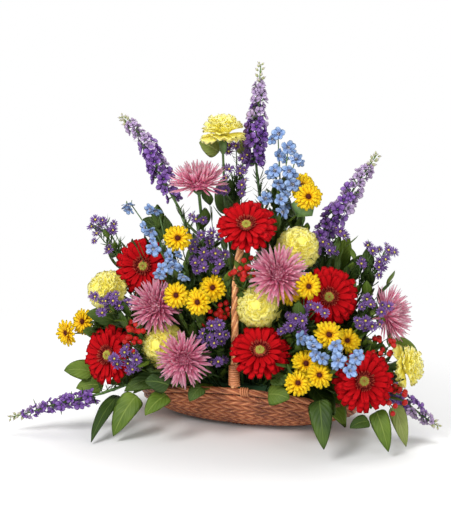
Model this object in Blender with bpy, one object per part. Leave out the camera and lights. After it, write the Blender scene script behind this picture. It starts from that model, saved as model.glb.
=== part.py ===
# Flower basket arrangement: an oval woven gathering basket with a tall hoop handle, a liner and floral
# foam, and cut flowers and leaves whose stems are pushed into the foam.
# Frame: +Z up, +X along the basket, -Y towards the front of the arrangement, origin at the middle of the
# flat underside of the foot. Lengths are in millimetres here and become metres in each mesh.
import math

import bmesh
import bpy
from mathutils import Vector

MM = 0.001
GAP = 0.4  # clearance between pieces that touch

# Basket
TRAY_HALF = Vector((180, 100))  # half length and half depth of the tray at its rim
TRAY_FLOOR_HALF = Vector((128, 52))
TRAY_FLOOR_Z = 9.0
TRAY_WALL = 5.0
RIM_Z_MIDDLE = 70.0  # the rim is drawn up at the handle and runs low at the two ends
RIM_Z_END = 27.0
BORDER_RADIUS = 5.5
FOOT_HALF = Vector((57, 42))
FOOT_RADIUS = 4.4

# Handle
HANDLE_FOOT_Y = 98.0
HANDLE_FOOT_Z = 83.0
HANDLE_SHOULDER_Y = 92.0
HANDLE_SHOULDER_Z = 222.0
HANDLE_CROWN_Z = 324.0
HANDLE_RADIUS = 6.5
WRAP_TOP_Z = 122.0
WRAP_WALL = 2.2

# Liner and foam
LINER_HALF = Vector((124, 70))
LINER_FLOOR_HALF = Vector((108, 44))
LINER_FLOOR_Z = TRAY_FLOOR_Z + TRAY_WALL + GAP
LINER_TOP_Z = 50.0
LINER_WALL = 1.6
FOAM_TOP_Z = 74.0
STEM_DEPTH = 26.0  # how far a cut stem is pushed into the foam

RIM_POINTS = 36
COLOURS = {
    "willow": ((0.55, 0.25, 0.11, 1), 0.6),
    "liner": ((0.05, 0.09, 0.05, 1), 0.4),
    "foam": ((0.10, 0.22, 0.09, 1), 0.9),
    "gerbera": ((0.72, 0.01, 0.02, 1), 0.5),
    "carnation": ((0.90, 0.83, 0.32, 1), 0.6),
    "mum": ((0.62, 0.25, 0.38, 1), 0.6),
    "daisy": ((0.95, 0.60, 0.02, 1), 0.5),
    "larkspur": ((0.30, 0.16, 0.55, 1), 0.6),
    "delphinium": ((0.35, 0.52, 0.85, 1), 0.6),
    "aster": ((0.26, 0.13, 0.50, 1), 0.6),
    "berry": ((0.60, 0.02, 0.03, 1), 0.35),
    "leaf": ((0.10, 0.22, 0.05, 1), 0.5),
}

# A bloom's outline of turning, from its stem to its front: (distance behind the front, radius).
GERBERA = [(30, 2.6), (19, 5), (12, 13), (8, 40), (2, 43), (0, 36)]
CARNATION = [(64, 2.0), (58, 6), (36, 7), (29, 20), (16, 27), (4, 22), (0, 12)]
MUM = [(44, 2.6), (36, 11), (27, 36), (13, 41), (3, 30), (0, 17)]
DAISY = [(13, 1.1), (9, 5), (6, 19), (3, 20), (0, 9)]
ASTER = [(8, 0.9), (3, 6.5), (0, 5.5)]
BERRY = [(8, 1.0), (5, 4.8), (0, 2.4)]
FLORET = [(9, 0.9), (4, 5.5), (0, 7.5)]

# One bloom to a stem: name, kind, middle of the bloom's front, where it faces (degrees to the right of
# the front, degrees up), and where its stem enters the foam.
SINGLE_BLOOMS = [
    ("gerbera_top", "gerbera", (16, -88, 343), (12, 44), (18, -30)),
    ("gerbera_upper_left", "gerbera", (-162, -58, 259), (2, 20), (-62, -14)),
    ("gerbera_lower_left", "gerbera", (-209, -108, 122), (-20, 18), (-92, -22)),
    ("gerbera_upper_right", "gerbera", (142, -66, 230), (18, 16), (66, -14)),
    ("gerbera_centre", "gerbera", (47, -124, 157), (10, 46), (28, -42)),
    ("gerbera_lower_right", "gerbera", (206, -112, 115), (20, 20), (88, -30)),
    ("carnation_top", "carnation", (-42, -6, 499), (0, 92), (-14, 20)),
    ("carnation_right", "carnation", (94, -58, 317), (20, 40), (42, -10)),
    ("carnation_centre", "carnation", (39, -116, 222), (8, 16), (34, -18)),
    ("carnation_lower_left", "carnation", (-121, -122, 152), (-6, 22), (-70, -32)),
    ("carnation_left", "carnation", (-232, -88, 228), (-26, 24), (-87, 0)),
    ("carnation_far_right", "carnation", (287, -42, 124), (92, 6), (100, 2)),
    ("mum_top", "mum", (-69, -60, 420), (-8, 82), (-30, 6)),
    ("mum_centre", "mum", (73, -117, 279), (14, 28), (50, -28)),
    ("mum_left", "mum", (-129, -117, 212), (-2, 22), (-52, -26)),
    ("mum_lower_left", "mum", (-68, -150, 137), (12, 14), (-38, -46)),
    ("mum_right", "mum", (250, -24, 202), (80, 16), (86, 4)),
]

# Several blooms to a stem: name, kind, where the stem enters the foam, how the blooms face, and the
# fronts of the blooms.
SPRAYS = [
    ("daisies_upper_left", "daisy", (-46, -8), (4, 26), [(-93, -88, 314)]),
    ("daisies_top_right", "daisy", (58, 6), (16, 24), [(102, -38, 379), (84, 2, 389), (92, -24, 361)]),
    ("daisies_left", "daisy", (-30, -22), (-4, 22), [(-53, -122, 222), (-36, -94, 240), (-88, -118, 230)]),
    ("daisies_right", "daisy", (78, -20), (34, 18), [(119, -110, 255), (85, -84, 238)]),
    ("daisies_lower_right", "daisy", (72, -32), (20, 24), [(152, -116, 185), (174, -82, 168)]),
    ("daisies_front", "daisy", (48, -47), (22, 26), [(113, -154, 118), (143, -142, 129), (120, -130, 142)]),
    ("daisies_far_left", "daisy", (-99, -9), (-42, 10), [(-292, -74, 142), (-270, -54, 158)]),
    ("delphinium_top", "floret", (34, 16), (16, 16), [
        (46, -4, 469), (63, -6, 449), (48, -2, 435), (42, -9, 413), (66, -14, 413), (74, -24, 394),
        (49, -16, 392), (30, -19, 370), (57, -30, 372), (58, -24, 350), (72, 8, 430)]),
    ("delphinium_left", "floret", (-56, -37), (-10, -24), [
        (-183, -64, 356), (-138, -62, 348), (-135, -92, 322), (-124, -116, 300), (-102, -104, 287),
        (-94, -112, 272), (-112, -124, 262), (-76, -116, 259)]),
    ("delphinium_low", "floret", (60, -43), (14, 24), [
        (112, -130, 179), (132, -138, 172), (147, -146, 156), (167, -146, 177), (172, -152, 157),
        (197, -146, 160), (190, -150, 142)]),
    ("asters_left", "aster", (-74, -18), (-8, 34), [
        (-255, -20, 323), (-242, -16, 318), (-252, -24, 302), (-225, -18, 306), (-230, -26, 276),
        (-221, -118, 219), (-206, -114, 212), (-192, -114, 214), (-183, -112, 206), (-210, -116, 194)]),
    ("asters_upper_left", "aster", (-40, -20), (4, 34), [
        (-72, -60, 340), (-60, -72, 318), (-46, -66, 320), (-72, -76, 296), (-51, -86, 294),
        (-33, -86, 292), (-64, -92, 278), (-49, -98, 272), (-24, -94, 278)]),
    ("asters_top", "aster", (-20, 5), (0, 40), [
        (-24, 0, 449), (-12, -5, 430), (-30, -12, 414), (-12, -17, 409), (-32, -34, 382), (-6, -32, 392)]),
    ("asters_low_left", "aster", (-58, -44), (-4, 26), [
        (-180, -146, 130), (-167, -136, 138), (-146, -138, 128), (-152, -142, 114)]),
    ("asters_centre", "aster", (-18, -36), (-2, 26), [
        (-31, -118, 186), (-45, -123, 174), (-19, -116, 173), (-27, -121, 159), (-20, -118, 129)]),
    ("asters_right", "aster", (62, -30), (10, 28), [
        (134, -120, 226), (113, -112, 217), (110, -117, 203), (96, -112, 205), (86, -110, 188)]),
    ("asters_far_right", "aster", (86, 16), (30, 34), [
        (224, -10, 297), (199, -5, 293), (183, -14, 274), (210, -14, 270), (220, -10, 282),
        (201, -78, 199), (210, -72, 190), (205, -60, 222), (234, -66, 222)]),
    ("asters_upper_right", "aster", (72, 14), (14, 34), [
        (122, -20, 306), (147, -8, 321), (112, -24, 290), (134, -20, 293)]),
    ("hypericum_handle", "berry", (2, -50), (-4, 40), [
        (1, -108, 271), (13, -111, 280), (18, -106, 288), (25, -107, 281), (20, -110, 269)]),
    ("hypericum_left", "berry", (-84, -10), (-10, 34), [
        (-166, -122, 172), (-156, -122, 180), (-149, -124, 171), (-166, -124, 160), (-156, -128, 153)]),
    ("hypericum_centre", "berry", (-24, -8), (0, 34), [
        (-26, -92, 214), (-38, -98, 206), (-28, -104, 202), (-38, -104, 194), (-16, -88, 206),
        (-17, -92, 192)]),
    ("hypericum_right", "berry", (100, -14), (40, 26), [
        (221, -56, 166), (243, -56, 160), (238, -62, 147), (226, -66, 145),
        (248, -74, 98), (264, -78, 87), (256, -70, 94), (252, -94, 72)]),
]

# Flower spikes: name, where the stem enters the foam, then the spike's line from its base to its tip.
SPIKE_RADII = (4, 15, 17, 13, 8, 1.6)
SPIKES = [
    ("larkspur_top", (24, 36), [
        (6, 17, 415), (2, 21, 448), (5, 25, 479), (7, 28, 514), (7, 30, 543), (9, 31, 574)]),
    ("larkspur_left", (-54, 16), [
        (-126, 0, 358), (-153, 4, 401), (-166, 7, 432), (-184, 9, 459), (-202, 10, 475), (-217, 11, 487)]),
    ("larkspur_right", (64, 24), [
        (104, 12, 286), (122, 14, 326), (149, 16, 361), (170, 18, 397), (184, 20, 419), (196, 21, 438)]),
    ("larkspur_low_left", (-66, -41), [
        (-222, -128, 60), (-246, -138, 55), (-275, -146, 48), (-304, -152, 38), (-328, -160, 30),
        (-348, -170, 26)]),
    ("larkspur_low_right", (103, 13), [
        (226, -6, 70), (247, -10, 58), (266, -14, 47), (284, -20, 36), (298, -24, 29), (311, -29, 24)]),
]

# Leafy branches: name, where the stem enters the foam, then each leaf's base, tip and half width.
BRANCHES = [
    ("leaves_front_left", (-26, -50), [
        ((-92, -142, 92), (-128, -152, 98), 17), ((-98, -136, 74), (-120, -176, 52), 16),
        ((-150, -128, 66), (-176, -168, 10), 20), ((-46, -124, 88), (-58, -146, 70), 13),
        ((-146, -74, 84), (-206, -98, 70), 19), ((-118, -96, 88), (-174, -120, 68), 17)]),
    ("leaves_far_left", (-78, -36), [
        ((-240, -82, 82), (-284, -98, 86), 17), ((-222, -84, 62), (-264, -98, 58), 15),
        ((-192, -100, 52), (-206, -186, 4), 13), ((-198, -58, 158), (-252, -76, 178), 17),
        ((-238, -72, 144), (-256, -84, 150), 9)]),
    ("leaves_left", (-78, 24), [
        ((-132, -34, 300), (-168, -34, 330), 17),
        ((-150, 42, 190), (-196, 62, 214), 20), ((-110, 58, 150), (-140, 96, 120), 20),
        ((-92, 50, 216), (-124, 70, 262), 20), ((-150, 10, 120), (-200, 20, 108), 20)]),
    ("leaves_front_right", (37, -49), [
        ((140, -126, 84), (156, -168, 22), 18), ((64, -124, 112), (96, -134, 108), 12),
        ((60, -122, 84), (96, -134, 84), 18)]),
    ("leaves_far_right", (76, -37), [
        ((222, -92, 62), (246, -122, 10), 15), ((246, -62, 62), (268, -84, 6), 13),
        ((214, -112, 52), (190, -144, 50), 11)]),
    ("leaves_top", (-30, 40), [
        ((-56, 18, 434), (-86, 8, 450), 16), ((-22, 36, 428), (-14, 46, 464), 12),
        ((-44, 44, 330), (-62, 50, 386), 20),
        ((-70, 64, 240), (-116, 84, 262), 21)]),
    ("leaves_right", (84, 26), [
        ((138, 22, 250), (158, 18, 306), 16), ((156, 20, 236), (184, 14, 280), 14),
        ((232, 6, 140), (272, 6, 128), 14), ((120, 62, 170), (164, 92, 150), 21),
        ((150, 34, 128), (204, 46, 112), 20),
        ((96, 60, 220), (126, 82, 252), 20)]),
    ("leaves_back", (30, 50), [
        ((44, 96, 140), (80, 130, 104), 21), ((-34, 98, 140), (-74, 132, 108), 21),
        ((-38, 84, 196), (-66, 104, 244), 21), ((92, 78, 120), (138, 96, 96), 20),
        ((34, 90, 190), (34, 114, 238), 20), ((58, 72, 236), (76, 92, 286), 20),
        ((34, 58, 306), (46, 72, 360), 18)]),
]

STEM_RADIUS = {"gerbera": 2.6, "carnation": 2.0, "mum": 2.6, "daisy": 1.6, "floret": 1.9, "aster": 1.5,
               "berry": 1.7, "larkspur": 2.5, "leaf": 1.8}
BLOOMS = {"gerbera": GERBERA, "carnation": CARNATION, "mum": MUM, "daisy": DAISY, "floret": FLORET,
          "aster": ASTER, "berry": BERRY}
MATERIAL_OF = {"floret": "delphinium"}


def clear_scene():
    for obj in list(bpy.data.objects):
        bpy.data.objects.remove(obj, do_unlink=True)


def material(name):
    found = bpy.data.materials.get(name)
    if found:
        return found
    colour, roughness = COLOURS[name]
    made = bpy.data.materials.new(name)
    made.use_nodes = True
    shader = made.node_tree.nodes["Principled BSDF"]
    shader.inputs["Base Color"].default_value = colour
    shader.inputs["Roughness"].default_value = roughness
    made.diffuse_color = colour
    return made


def add_object(name, mesh, material_name):
    obj = bpy.data.objects.new(name, mesh)
    obj.data.materials.append(material(material_name))
    bpy.context.scene.collection.objects.link(obj)
    return obj


def facing(turn, lift):
    """The direction that is turned to the right of the front and lifted, in degrees."""
    turn, lift = math.radians(turn), math.radians(lift)
    return Vector((math.sin(turn) * math.cos(lift), -math.cos(turn) * math.cos(lift), math.sin(lift)))


def bezier(p0, p1, p2, p3, shares):
    curve = []
    for t in shares:
        u = 1 - t
        curve.append(p0 * u ** 3 + p1 * 3 * t * u * u + p2 * 3 * t * t * u + p3 * t ** 3)
    return curve


def sweep(points, sizes, sides=5, across=None, closed=False):
    """A closed mesh of rings along the points. A size is a radius, or a half width and a half thickness;
    across points along the half width at each ring."""
    points = [Vector(p) for p in points]
    count = len(points)
    bm = bmesh.new()
    rings = []
    side = Vector(across) if across is not None else None
    for i, point in enumerate(points):
        before = points[(i - 1) % count] if closed else points[max(i - 1, 0)]
        after = points[(i + 1) % count] if closed else points[min(i + 1, count - 1)]
        along = (after - before).normalized()
        if side is None:
            side = along.orthogonal()
        flat = (side - along * side.dot(along)).normalized()
        if across is None:
            side = flat
        up = along.cross(flat)
        wide, thick = sizes[i] if isinstance(sizes[i], tuple) else (sizes[i], sizes[i])
        turns = [math.tau * k / sides for k in range(sides)]
        ring = [point + flat * wide * math.cos(a) + up * thick * math.sin(a) for a in turns]
        rings.append([bm.verts.new(v * MM) for v in ring])
    pairs = list(zip(rings, rings[1:] + rings[:1])) if closed else list(zip(rings, rings[1:]))
    for low, high in pairs:
        for k in range(sides):
            bm.faces.new((low[k], low[(k + 1) % sides], high[(k + 1) % sides], high[k]))
    if not closed:
        bm.faces.new(rings[0][::-1])
        bm.faces.new(rings[-1])
    bmesh.ops.recalc_face_normals(bm, faces=bm.faces)
    mesh = bpy.data.meshes.new("sweep")
    bm.to_mesh(mesh)
    bm.free()
    return mesh


def hide_as_tool(obj):
    obj.hide_render = True
    obj.display_type = "WIRE"


def unite(name, meshes, material_name):
    """One body from overlapping meshes: the first takes in all the others."""
    obj = add_object(name, meshes[0], material_name)
    for i, mesh in enumerate(meshes[1:]):
        branch = add_object(f"{name}_branch_{i}", mesh, material_name)
        hide_as_tool(branch)
        join = obj.modifiers.new(f"join_{i}", "BOOLEAN")
        join.operation = "UNION"
        join.solver = "EXACT"
        join.object = branch
    return obj


def stem_line(plug, end, end_along, shares=(0.35, 0.75)):
    """A stem from its cut end, straight out of the foam, then curving to end along end_along."""
    entry = Vector((plug[0], plug[1], FOAM_TOP_Z))
    lean = Vector((plug[0] * 1.3, plug[1] * 1.3, 150)).normalized()
    cut = entry - lean * STEM_DEPTH
    out = entry + lean * 6
    reach = (end - out).length
    curve = bezier(out, out + lean * reach * 0.35, end - end_along * reach * 0.35, end, shares)
    return [cut, out, *curve, end]


def single_bloom(name, kind, front, turn, plug):
    along = facing(*turn)
    front = Vector(front)
    outline = BLOOMS[kind]
    back = front - along * outline[0][0]
    line = stem_line(plug, back, along)
    radii = [STEM_RADIUS[kind]] * (len(line) - 1)
    points = line[:-1] + [front - along * behind for behind, _ in outline]
    return add_object(name, sweep(points, radii + [r for _, r in outline], sides=8), kind)


def groups_of(points, reach):
    """The points in groups, each point within reach of another one of its group."""
    groups = []
    for point in points:
        near = [g for g in groups if any((point - other).length < reach for other in g)]
        merged = [point] + [other for g in near for other in g]
        groups = [g for g in groups if g not in near] + [merged]
    return groups


def branch_start(line, tip):
    """Where a side branch to the tip leaves the line: below the line's nearest point, for a sharp fork."""
    samples = [a.lerp(b, k / 8) for a, b in zip(line[1:], line[2:]) for k in range(8)]
    nearest = min(range(len(samples)), key=lambda i: (samples[i] - tip).length)
    gap = (samples[nearest] - tip).length
    walked = 0
    while nearest > 0 and walked < gap:
        walked += (samples[nearest] - samples[nearest - 1]).length
        nearest -= 1
    return samples[nearest]


def spray(name, kind, plug, turn, fronts):
    along = facing(*turn)
    fronts = [Vector(f) for f in fronts]
    outline = BLOOMS[kind]
    backs = [f - along * outline[0][0] for f in fronts]
    crown = sum(backs, Vector()) / len(backs)
    foot = Vector((plug[0], plug[1], FOAM_TOP_Z))
    end = foot.lerp(crown, 0.82)
    line = stem_line(plug, end, (end - foot).normalized())
    thick = STEM_RADIUS[kind]
    meshes = [sweep(line, [thick] * len(line))]
    for group in groups_of(backs, 46):
        middle = sum(group, Vector()) / len(group)
        start = branch_start(line, middle)
        knot = start.lerp(middle, 0.62)
        bend = start.lerp(knot, 0.5) + Vector((0, 0, 0.05 * (knot - start).length))
        meshes.append(sweep([start, bend, knot], [thick * 0.8] * 3))
        for back in group:
            front = back + along * outline[0][0]
            bow = knot.lerp(back, 0.6) - along * 4
            points = [knot - (bow - knot).normalized() * 0.4, bow] + [front - along * b for b, _ in outline]
            radii = [thick * 0.6] * 2 + [r for _, r in outline]
            meshes.append(sweep(points, radii))
    return unite(name, meshes, MATERIAL_OF.get(kind, kind))


def spike(name, plug, line):
    line = [Vector(p) for p in line]
    along = (line[1] - line[0]).normalized()
    stem = stem_line(plug, line[0] - along * 14, along)
    radii = [STEM_RADIUS["larkspur"]] * len(stem) + list(SPIKE_RADII)
    return add_object(name, sweep(stem + line, radii), "larkspur")


LEAF_SHARES = (0.0, 0.16, 0.48, 0.8, 1.0)
LEAF_WIDTHS = (0.09, 0.72, 1.0, 0.62, 0.05)


def leaf(base, tip, half_width, start):
    """A blade from base to tip on a stalk from start; it bows upwards a little."""
    length = (tip - base).length
    bow = Vector((0, -0.3, 1)) * length * 0.4
    middle_line = [base.lerp(tip, t) + bow * t * (1 - t) for t in LEAF_SHARES]
    across = (tip - base).cross(Vector((0, -1, 0.55))).normalized()
    sizes = [(max(half_width * w, 0.9), 0.9) for w in LEAF_WIDTHS]
    return sweep([start] + middle_line, [(1.0, 0.9)] + sizes, across=across)


def leafy_branch(name, plug, leaves):
    leaves = [(Vector(b), Vector(t), w) for b, t, w in leaves]
    foot = Vector((plug[0], plug[1], FOAM_TOP_Z))
    crown = sum((b for b, _, _ in leaves), Vector()) / len(leaves)
    end = foot.lerp(crown, 0.8)
    line = stem_line(plug, end, (end - foot).normalized())
    meshes = [sweep(line, [STEM_RADIUS["leaf"]] * len(line))]
    for base, tip, half_width in leaves:
        meshes.append(leaf(base, tip, half_width, branch_start(line, base)))
    return unite(name, meshes, "leaf")


def oval(half, share):
    angle = math.tau * share
    return Vector((half.x * math.cos(angle), half.y * math.sin(angle)))


def oval_ring(half, z, inset=0.0, count=28):
    return [(*oval(half - Vector((inset, inset)), k / count), z) for k in range(count)]


def rim_height(x):
    """The rim's height over a place along the basket."""
    return RIM_Z_END + (RIM_Z_MIDDLE - RIM_Z_END) * (1 - (x / TRAY_HALF.x) ** 2) ** 0.8


def oval_shell(name, rings, material_name):
    """A dish from rings of points, from the middle of the inner floor round the rim to the outer floor."""
    bm = bmesh.new()
    loops = [[bm.verts.new(Vector(p) * MM) for p in ring] for ring in rings]
    for low, high in zip(loops, loops[1:]):
        for k in range(len(low)):
            bm.faces.new((low[k], low[(k + 1) % len(low)], high[(k + 1) % len(low)], high[k]))
    bm.faces.new(loops[0])
    bm.faces.new(loops[-1][::-1])
    bmesh.ops.recalc_face_normals(bm, faces=bm.faces)
    mesh = bpy.data.meshes.new(name)
    bm.to_mesh(mesh)
    bm.free()
    return add_object(name, mesh, material_name)


def tray_ring(share_up, inset, lift):
    """A ring of the tray's wall: share_up 0 is the edge of its floor and 1 its rim."""
    ring = []
    for k in range(RIM_POINTS):
        floor = oval(TRAY_FLOOR_HALF - Vector((inset, inset)), k / RIM_POINTS)
        rim = oval(TRAY_HALF - Vector((inset, inset)), k / RIM_POINTS)
        flat = floor.lerp(rim, share_up ** 0.8)
        height = TRAY_FLOOR_Z + (rim_height(rim.x) - TRAY_FLOOR_Z) * share_up ** 1.25
        ring.append((flat.x, flat.y, height + lift))
    return ring


def build_basket():
    outer = [tray_ring(s, 0, 0) for s in (0, 0.5, 1)]
    inner = [tray_ring(s, TRAY_WALL, TRAY_WALL * (1 - s)) for s in (1, 0.5, 0)]
    oval_shell("basket_tray", inner[::-1] + outer[::-1], "willow")
    lift = BORDER_RADIUS + 2 * GAP
    middle = [(x, y, z + lift) for x, y, z in tray_ring(1, TRAY_WALL / 2, 0)]
    border = sweep(middle, [BORDER_RADIUS] * RIM_POINTS, closed=True, across=(0, 0, 1))
    add_object("basket_border", border, "willow")
    top = TRAY_FLOOR_Z - GAP
    rings = [oval_ring(FOOT_HALF, z, inset) for inset, z in ((4, 0), (0, 2), (0, top - 2), (4, top))]
    oval_shell("basket_foot", rings, "willow")


def ring_body(name, rings, material_name):
    """A closed hoop: the rings of points go once round its section."""
    bm = bmesh.new()
    loops = [[bm.verts.new(Vector(p) * MM) for p in ring] for ring in rings]
    for low, high in zip(loops, loops[1:] + loops[:1]):
        for k in range(len(low)):
            bm.faces.new((low[k], low[(k + 1) % len(low)], high[(k + 1) % len(low)], high[k]))
    bmesh.ops.recalc_face_normals(bm, faces=bm.faces)
    mesh = bpy.data.meshes.new(name)
    bm.to_mesh(mesh)
    bm.free()
    return add_object(name, mesh, material_name)


def handle_line():
    rise = HANDLE_CROWN_Z - HANDLE_SHOULDER_Z
    foot = (0, -HANDLE_FOOT_Y, HANDLE_FOOT_Z)
    knee = (0, -HANDLE_FOOT_Y + 2, WRAP_TOP_Z)
    arch = []
    for k in range(13):
        angle = math.pi * k / 12
        reach = abs(math.cos(angle)) ** 1.2 * math.copysign(HANDLE_SHOULDER_Y, math.cos(angle))
        arch.append((0, -reach, HANDLE_SHOULDER_Z + rise * math.sin(angle)))
    leg = [foot, knee]
    return leg + arch + [(x, -y, z) for x, y, z in leg[::-1]]


def build_handle():
    line = handle_line()
    add_object("handle_bow", sweep(line, [HANDLE_RADIUS] * len(line), sides=8, across=(1, 0, 0)), "willow")
    foot, knee = Vector(line[0]), Vector(line[1])
    along = (knee - foot).normalized()
    inner = HANDLE_RADIUS + GAP
    for name, mirror in (("handle_wrap_front", 1), ("handle_wrap_back", -1)):
        rings = []
        low, high = HANDLE_FOOT_Z + 1, WRAP_TOP_Z - 1
        section = ((inner, low), (inner, high), (inner + WRAP_WALL, high), (inner + WRAP_WALL * 1.5, low))
        for radius, z in section:
            centre = foot + along * ((z - foot.z) / along.z)
            ring = []
            for k in range(10):
                a = math.tau * k / 10
                y = (centre.y + radius * math.sin(a)) * mirror
                ring.append((centre.x + radius * math.cos(a), y, centre.z))
            rings.append(ring if mirror > 0 else ring[::-1])
        ring_body(name, rings, "willow")


def build_liner():
    outer = [oval_ring(LINER_FLOOR_HALF, LINER_FLOOR_Z), oval_ring(LINER_HALF, LINER_TOP_Z)]
    inner = [oval_ring(LINER_HALF, LINER_TOP_Z, LINER_WALL),
             oval_ring(LINER_FLOOR_HALF, LINER_FLOOR_Z + LINER_WALL, LINER_WALL)]
    oval_shell("liner_tray", inner[::-1] + outer[::-1], "liner")


def build_foam(plugs):
    inset = LINER_WALL + GAP
    rings = [
        oval_ring(LINER_FLOOR_HALF, LINER_FLOOR_Z + inset, inset + 1),
        oval_ring(LINER_HALF, LINER_TOP_Z, inset + 1),
        oval_ring(LINER_HALF, FOAM_TOP_Z - 6, inset + 1),
        oval_ring(LINER_HALF, FOAM_TOP_Z, inset + 8),
    ]
    foam = oval_shell("floral_foam", rings, "foam")
    for i, (plug, radius) in enumerate(plugs):
        entry = Vector((plug[0], plug[1], FOAM_TOP_Z))
        lean = Vector((plug[0] * 1.3, plug[1] * 1.3, 150)).normalized()
        hole_line = [entry - lean * (STEM_DEPTH + GAP), entry + lean * 8]
        hole = add_object(f"stem_hole_{i}", sweep(hole_line, [radius + GAP] * 2), "foam")
        hide_as_tool(hole)
        cut = foam.modifiers.new(f"hole_{i}", "BOOLEAN")
        cut.operation = "DIFFERENCE"
        cut.solver = "EXACT"
        cut.object = hole


def main():
    clear_scene()
    build_basket()
    build_handle()
    build_liner()
    plugs = []
    for name, kind, front, turn, plug in SINGLE_BLOOMS:
        single_bloom(name, kind, front, turn, plug)
        plugs.append((plug, STEM_RADIUS[kind] * 1.1))
    for name, kind, plug, turn, fronts in SPRAYS:
        spray(name, kind, plug, turn, fronts)
        plugs.append((plug, STEM_RADIUS[kind]))
    for name, plug, line in SPIKES:
        spike(name, plug, line)
        plugs.append((plug, STEM_RADIUS["larkspur"]))
    for name, plug, leaves in BRANCHES:
        leafy_branch(name, plug, leaves)
        plugs.append((plug, STEM_RADIUS["leaf"]))
    build_foam(plugs)


main()
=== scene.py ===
# A woven gathering basket with a hoop handle, filled with cut flowers, berries and leaves.
import math
import random

import bmesh
import bpy
from mathutils import Matrix, Vector, noise


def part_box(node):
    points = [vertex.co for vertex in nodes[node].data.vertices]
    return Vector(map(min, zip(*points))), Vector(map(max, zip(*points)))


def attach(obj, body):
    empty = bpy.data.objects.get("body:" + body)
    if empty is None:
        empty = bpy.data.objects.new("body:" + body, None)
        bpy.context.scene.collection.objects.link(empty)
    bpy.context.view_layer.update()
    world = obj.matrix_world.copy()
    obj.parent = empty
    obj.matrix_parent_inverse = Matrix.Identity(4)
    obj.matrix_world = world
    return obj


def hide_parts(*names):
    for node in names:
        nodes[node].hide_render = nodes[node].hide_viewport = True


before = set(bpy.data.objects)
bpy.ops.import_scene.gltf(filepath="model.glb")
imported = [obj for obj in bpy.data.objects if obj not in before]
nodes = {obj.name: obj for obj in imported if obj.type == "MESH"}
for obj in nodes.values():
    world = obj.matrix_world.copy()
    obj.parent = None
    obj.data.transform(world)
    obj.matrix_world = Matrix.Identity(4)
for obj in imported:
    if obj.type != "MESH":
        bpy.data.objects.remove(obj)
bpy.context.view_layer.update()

mm = 0.001
golden = math.pi * (3 - math.sqrt(5))
fullTurn = math.tau
rng = random.Random(7)


# A shader socket that can be added, multiplied and compared like a number.
class Signal:
    def __init__(self, graph, socket):
        self.graph = graph
        self.socket = socket

    def combine(self, operation, first, second):
        return self.graph.add("ShaderNodeMath", {"operation": operation}, {0: first, 1: second})

    def __add__(self, other):
        return self.combine("ADD", self, other)

    def __radd__(self, other):
        return self.combine("ADD", other, self)

    def __sub__(self, other):
        return self.combine("SUBTRACT", self, other)

    def __rsub__(self, other):
        return self.combine("SUBTRACT", other, self)

    def __mul__(self, other):
        return self.combine("MULTIPLY", self, other)

    def __rmul__(self, other):
        return self.combine("MULTIPLY", other, self)

    def __truediv__(self, other):
        return self.combine("DIVIDE", self, other)

    def __pow__(self, other):
        return self.combine("POWER", self, other)

    def ramp(self, low, high):
        inputs = {"Value": self, "From Min": low, "From Max": high}
        return self.graph.add("ShaderNodeMapRange", {"interpolation_type": "SMOOTHSTEP"}, inputs)

    def sine(self):
        return self.graph.add("ShaderNodeMath", {"operation": "SINE"}, {0: self})

    def size(self):
        return self.graph.add("ShaderNodeMath", {"operation": "ABSOLUTE"}, {0: self})


class Graph:
    def __init__(self, tree):
        self.tree = tree

    def add(self, kind, settings, inputs, output=0):
        node = self.tree.nodes.new(kind)
        for name, value in settings.items():
            setattr(node, name, value)
        for name, value in inputs.items():
            self.link(value, node.inputs[name])
        return Signal(self, node.outputs[output])

    def link(self, value, socket):
        if isinstance(value, Signal):
            self.tree.links.new(value.socket, socket)
        elif hasattr(socket.default_value, "__len__") and len(socket.default_value) == 4:
            socket.default_value = (*value, 1.0)[:4]
        else:
            socket.default_value = value

    def mix(self, share, first, second):
        node = self.tree.nodes.new("ShaderNodeMix")
        node.data_type = "RGBA"
        self.link(share, node.inputs[0])
        self.link(first, node.inputs[6])
        self.link(second, node.inputs[7])
        return Signal(self, node.outputs[2])

    def place(self):
        return self.add("ShaderNodeTexCoord", {}, {}, "Object")

    def across(self):
        uv = self.add("ShaderNodeTexCoord", {}, {}, "UV")
        split = self.tree.nodes.new("ShaderNodeSeparateXYZ")
        self.tree.links.new(uv.socket, split.inputs[0])
        return Signal(self, split.outputs[0]), Signal(self, split.outputs[1])

    def clouds(self, scale, detail=2.0, vector=None):
        inputs = {"Vector": vector or self.place(), "Scale": scale, "Detail": detail}
        return self.add("ShaderNodeTexNoise", {}, inputs, "Fac")

    def bump(self, height, distance, strength=1.0):
        inputs = {"Height": height, "Distance": distance, "Strength": strength}
        return self.add("ShaderNodeBump", {}, inputs)


# A material whose paint function returns its colour and, if it has relief, its normal.
def surface(name, paint, roughness, **fixed):
    made = bpy.data.materials.new(name)
    made.use_nodes = True
    shader = made.node_tree.nodes["Principled BSDF"]
    graph = Graph(made.node_tree)
    colour, normal = paint(graph)
    graph.link(colour, shader.inputs["Base Color"])
    graph.link(roughness, shader.inputs["Roughness"])
    if normal:
        graph.link(normal, shader.inputs["Normal"])
    for key, value in fixed.items():
        shader.inputs[key].default_value = value
    return made


# Petal colour from root to tip, with fine streaks along it and ribs in relief.
def petalPaint(root, middle, tip, streak=0.35, ribs=5):
    def paint(graph):
        u, v = graph.across()
        lower = graph.mix(v.ramp(0.0, 0.45), root, middle)
        whole = graph.mix(v.ramp(0.45, 1.0), lower, tip)
        cloud = graph.clouds(140.0, 3.0)
        darker = graph.mix(0.5, whole, tuple(c * 0.45 for c in middle))
        colour = graph.mix(cloud.ramp(0.45, 0.8) * streak, whole, darker)
        relief = (u * (ribs * fullTurn)).sine()
        return colour, graph.bump(relief, 0.0004, 0.5)
    return paint


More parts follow.
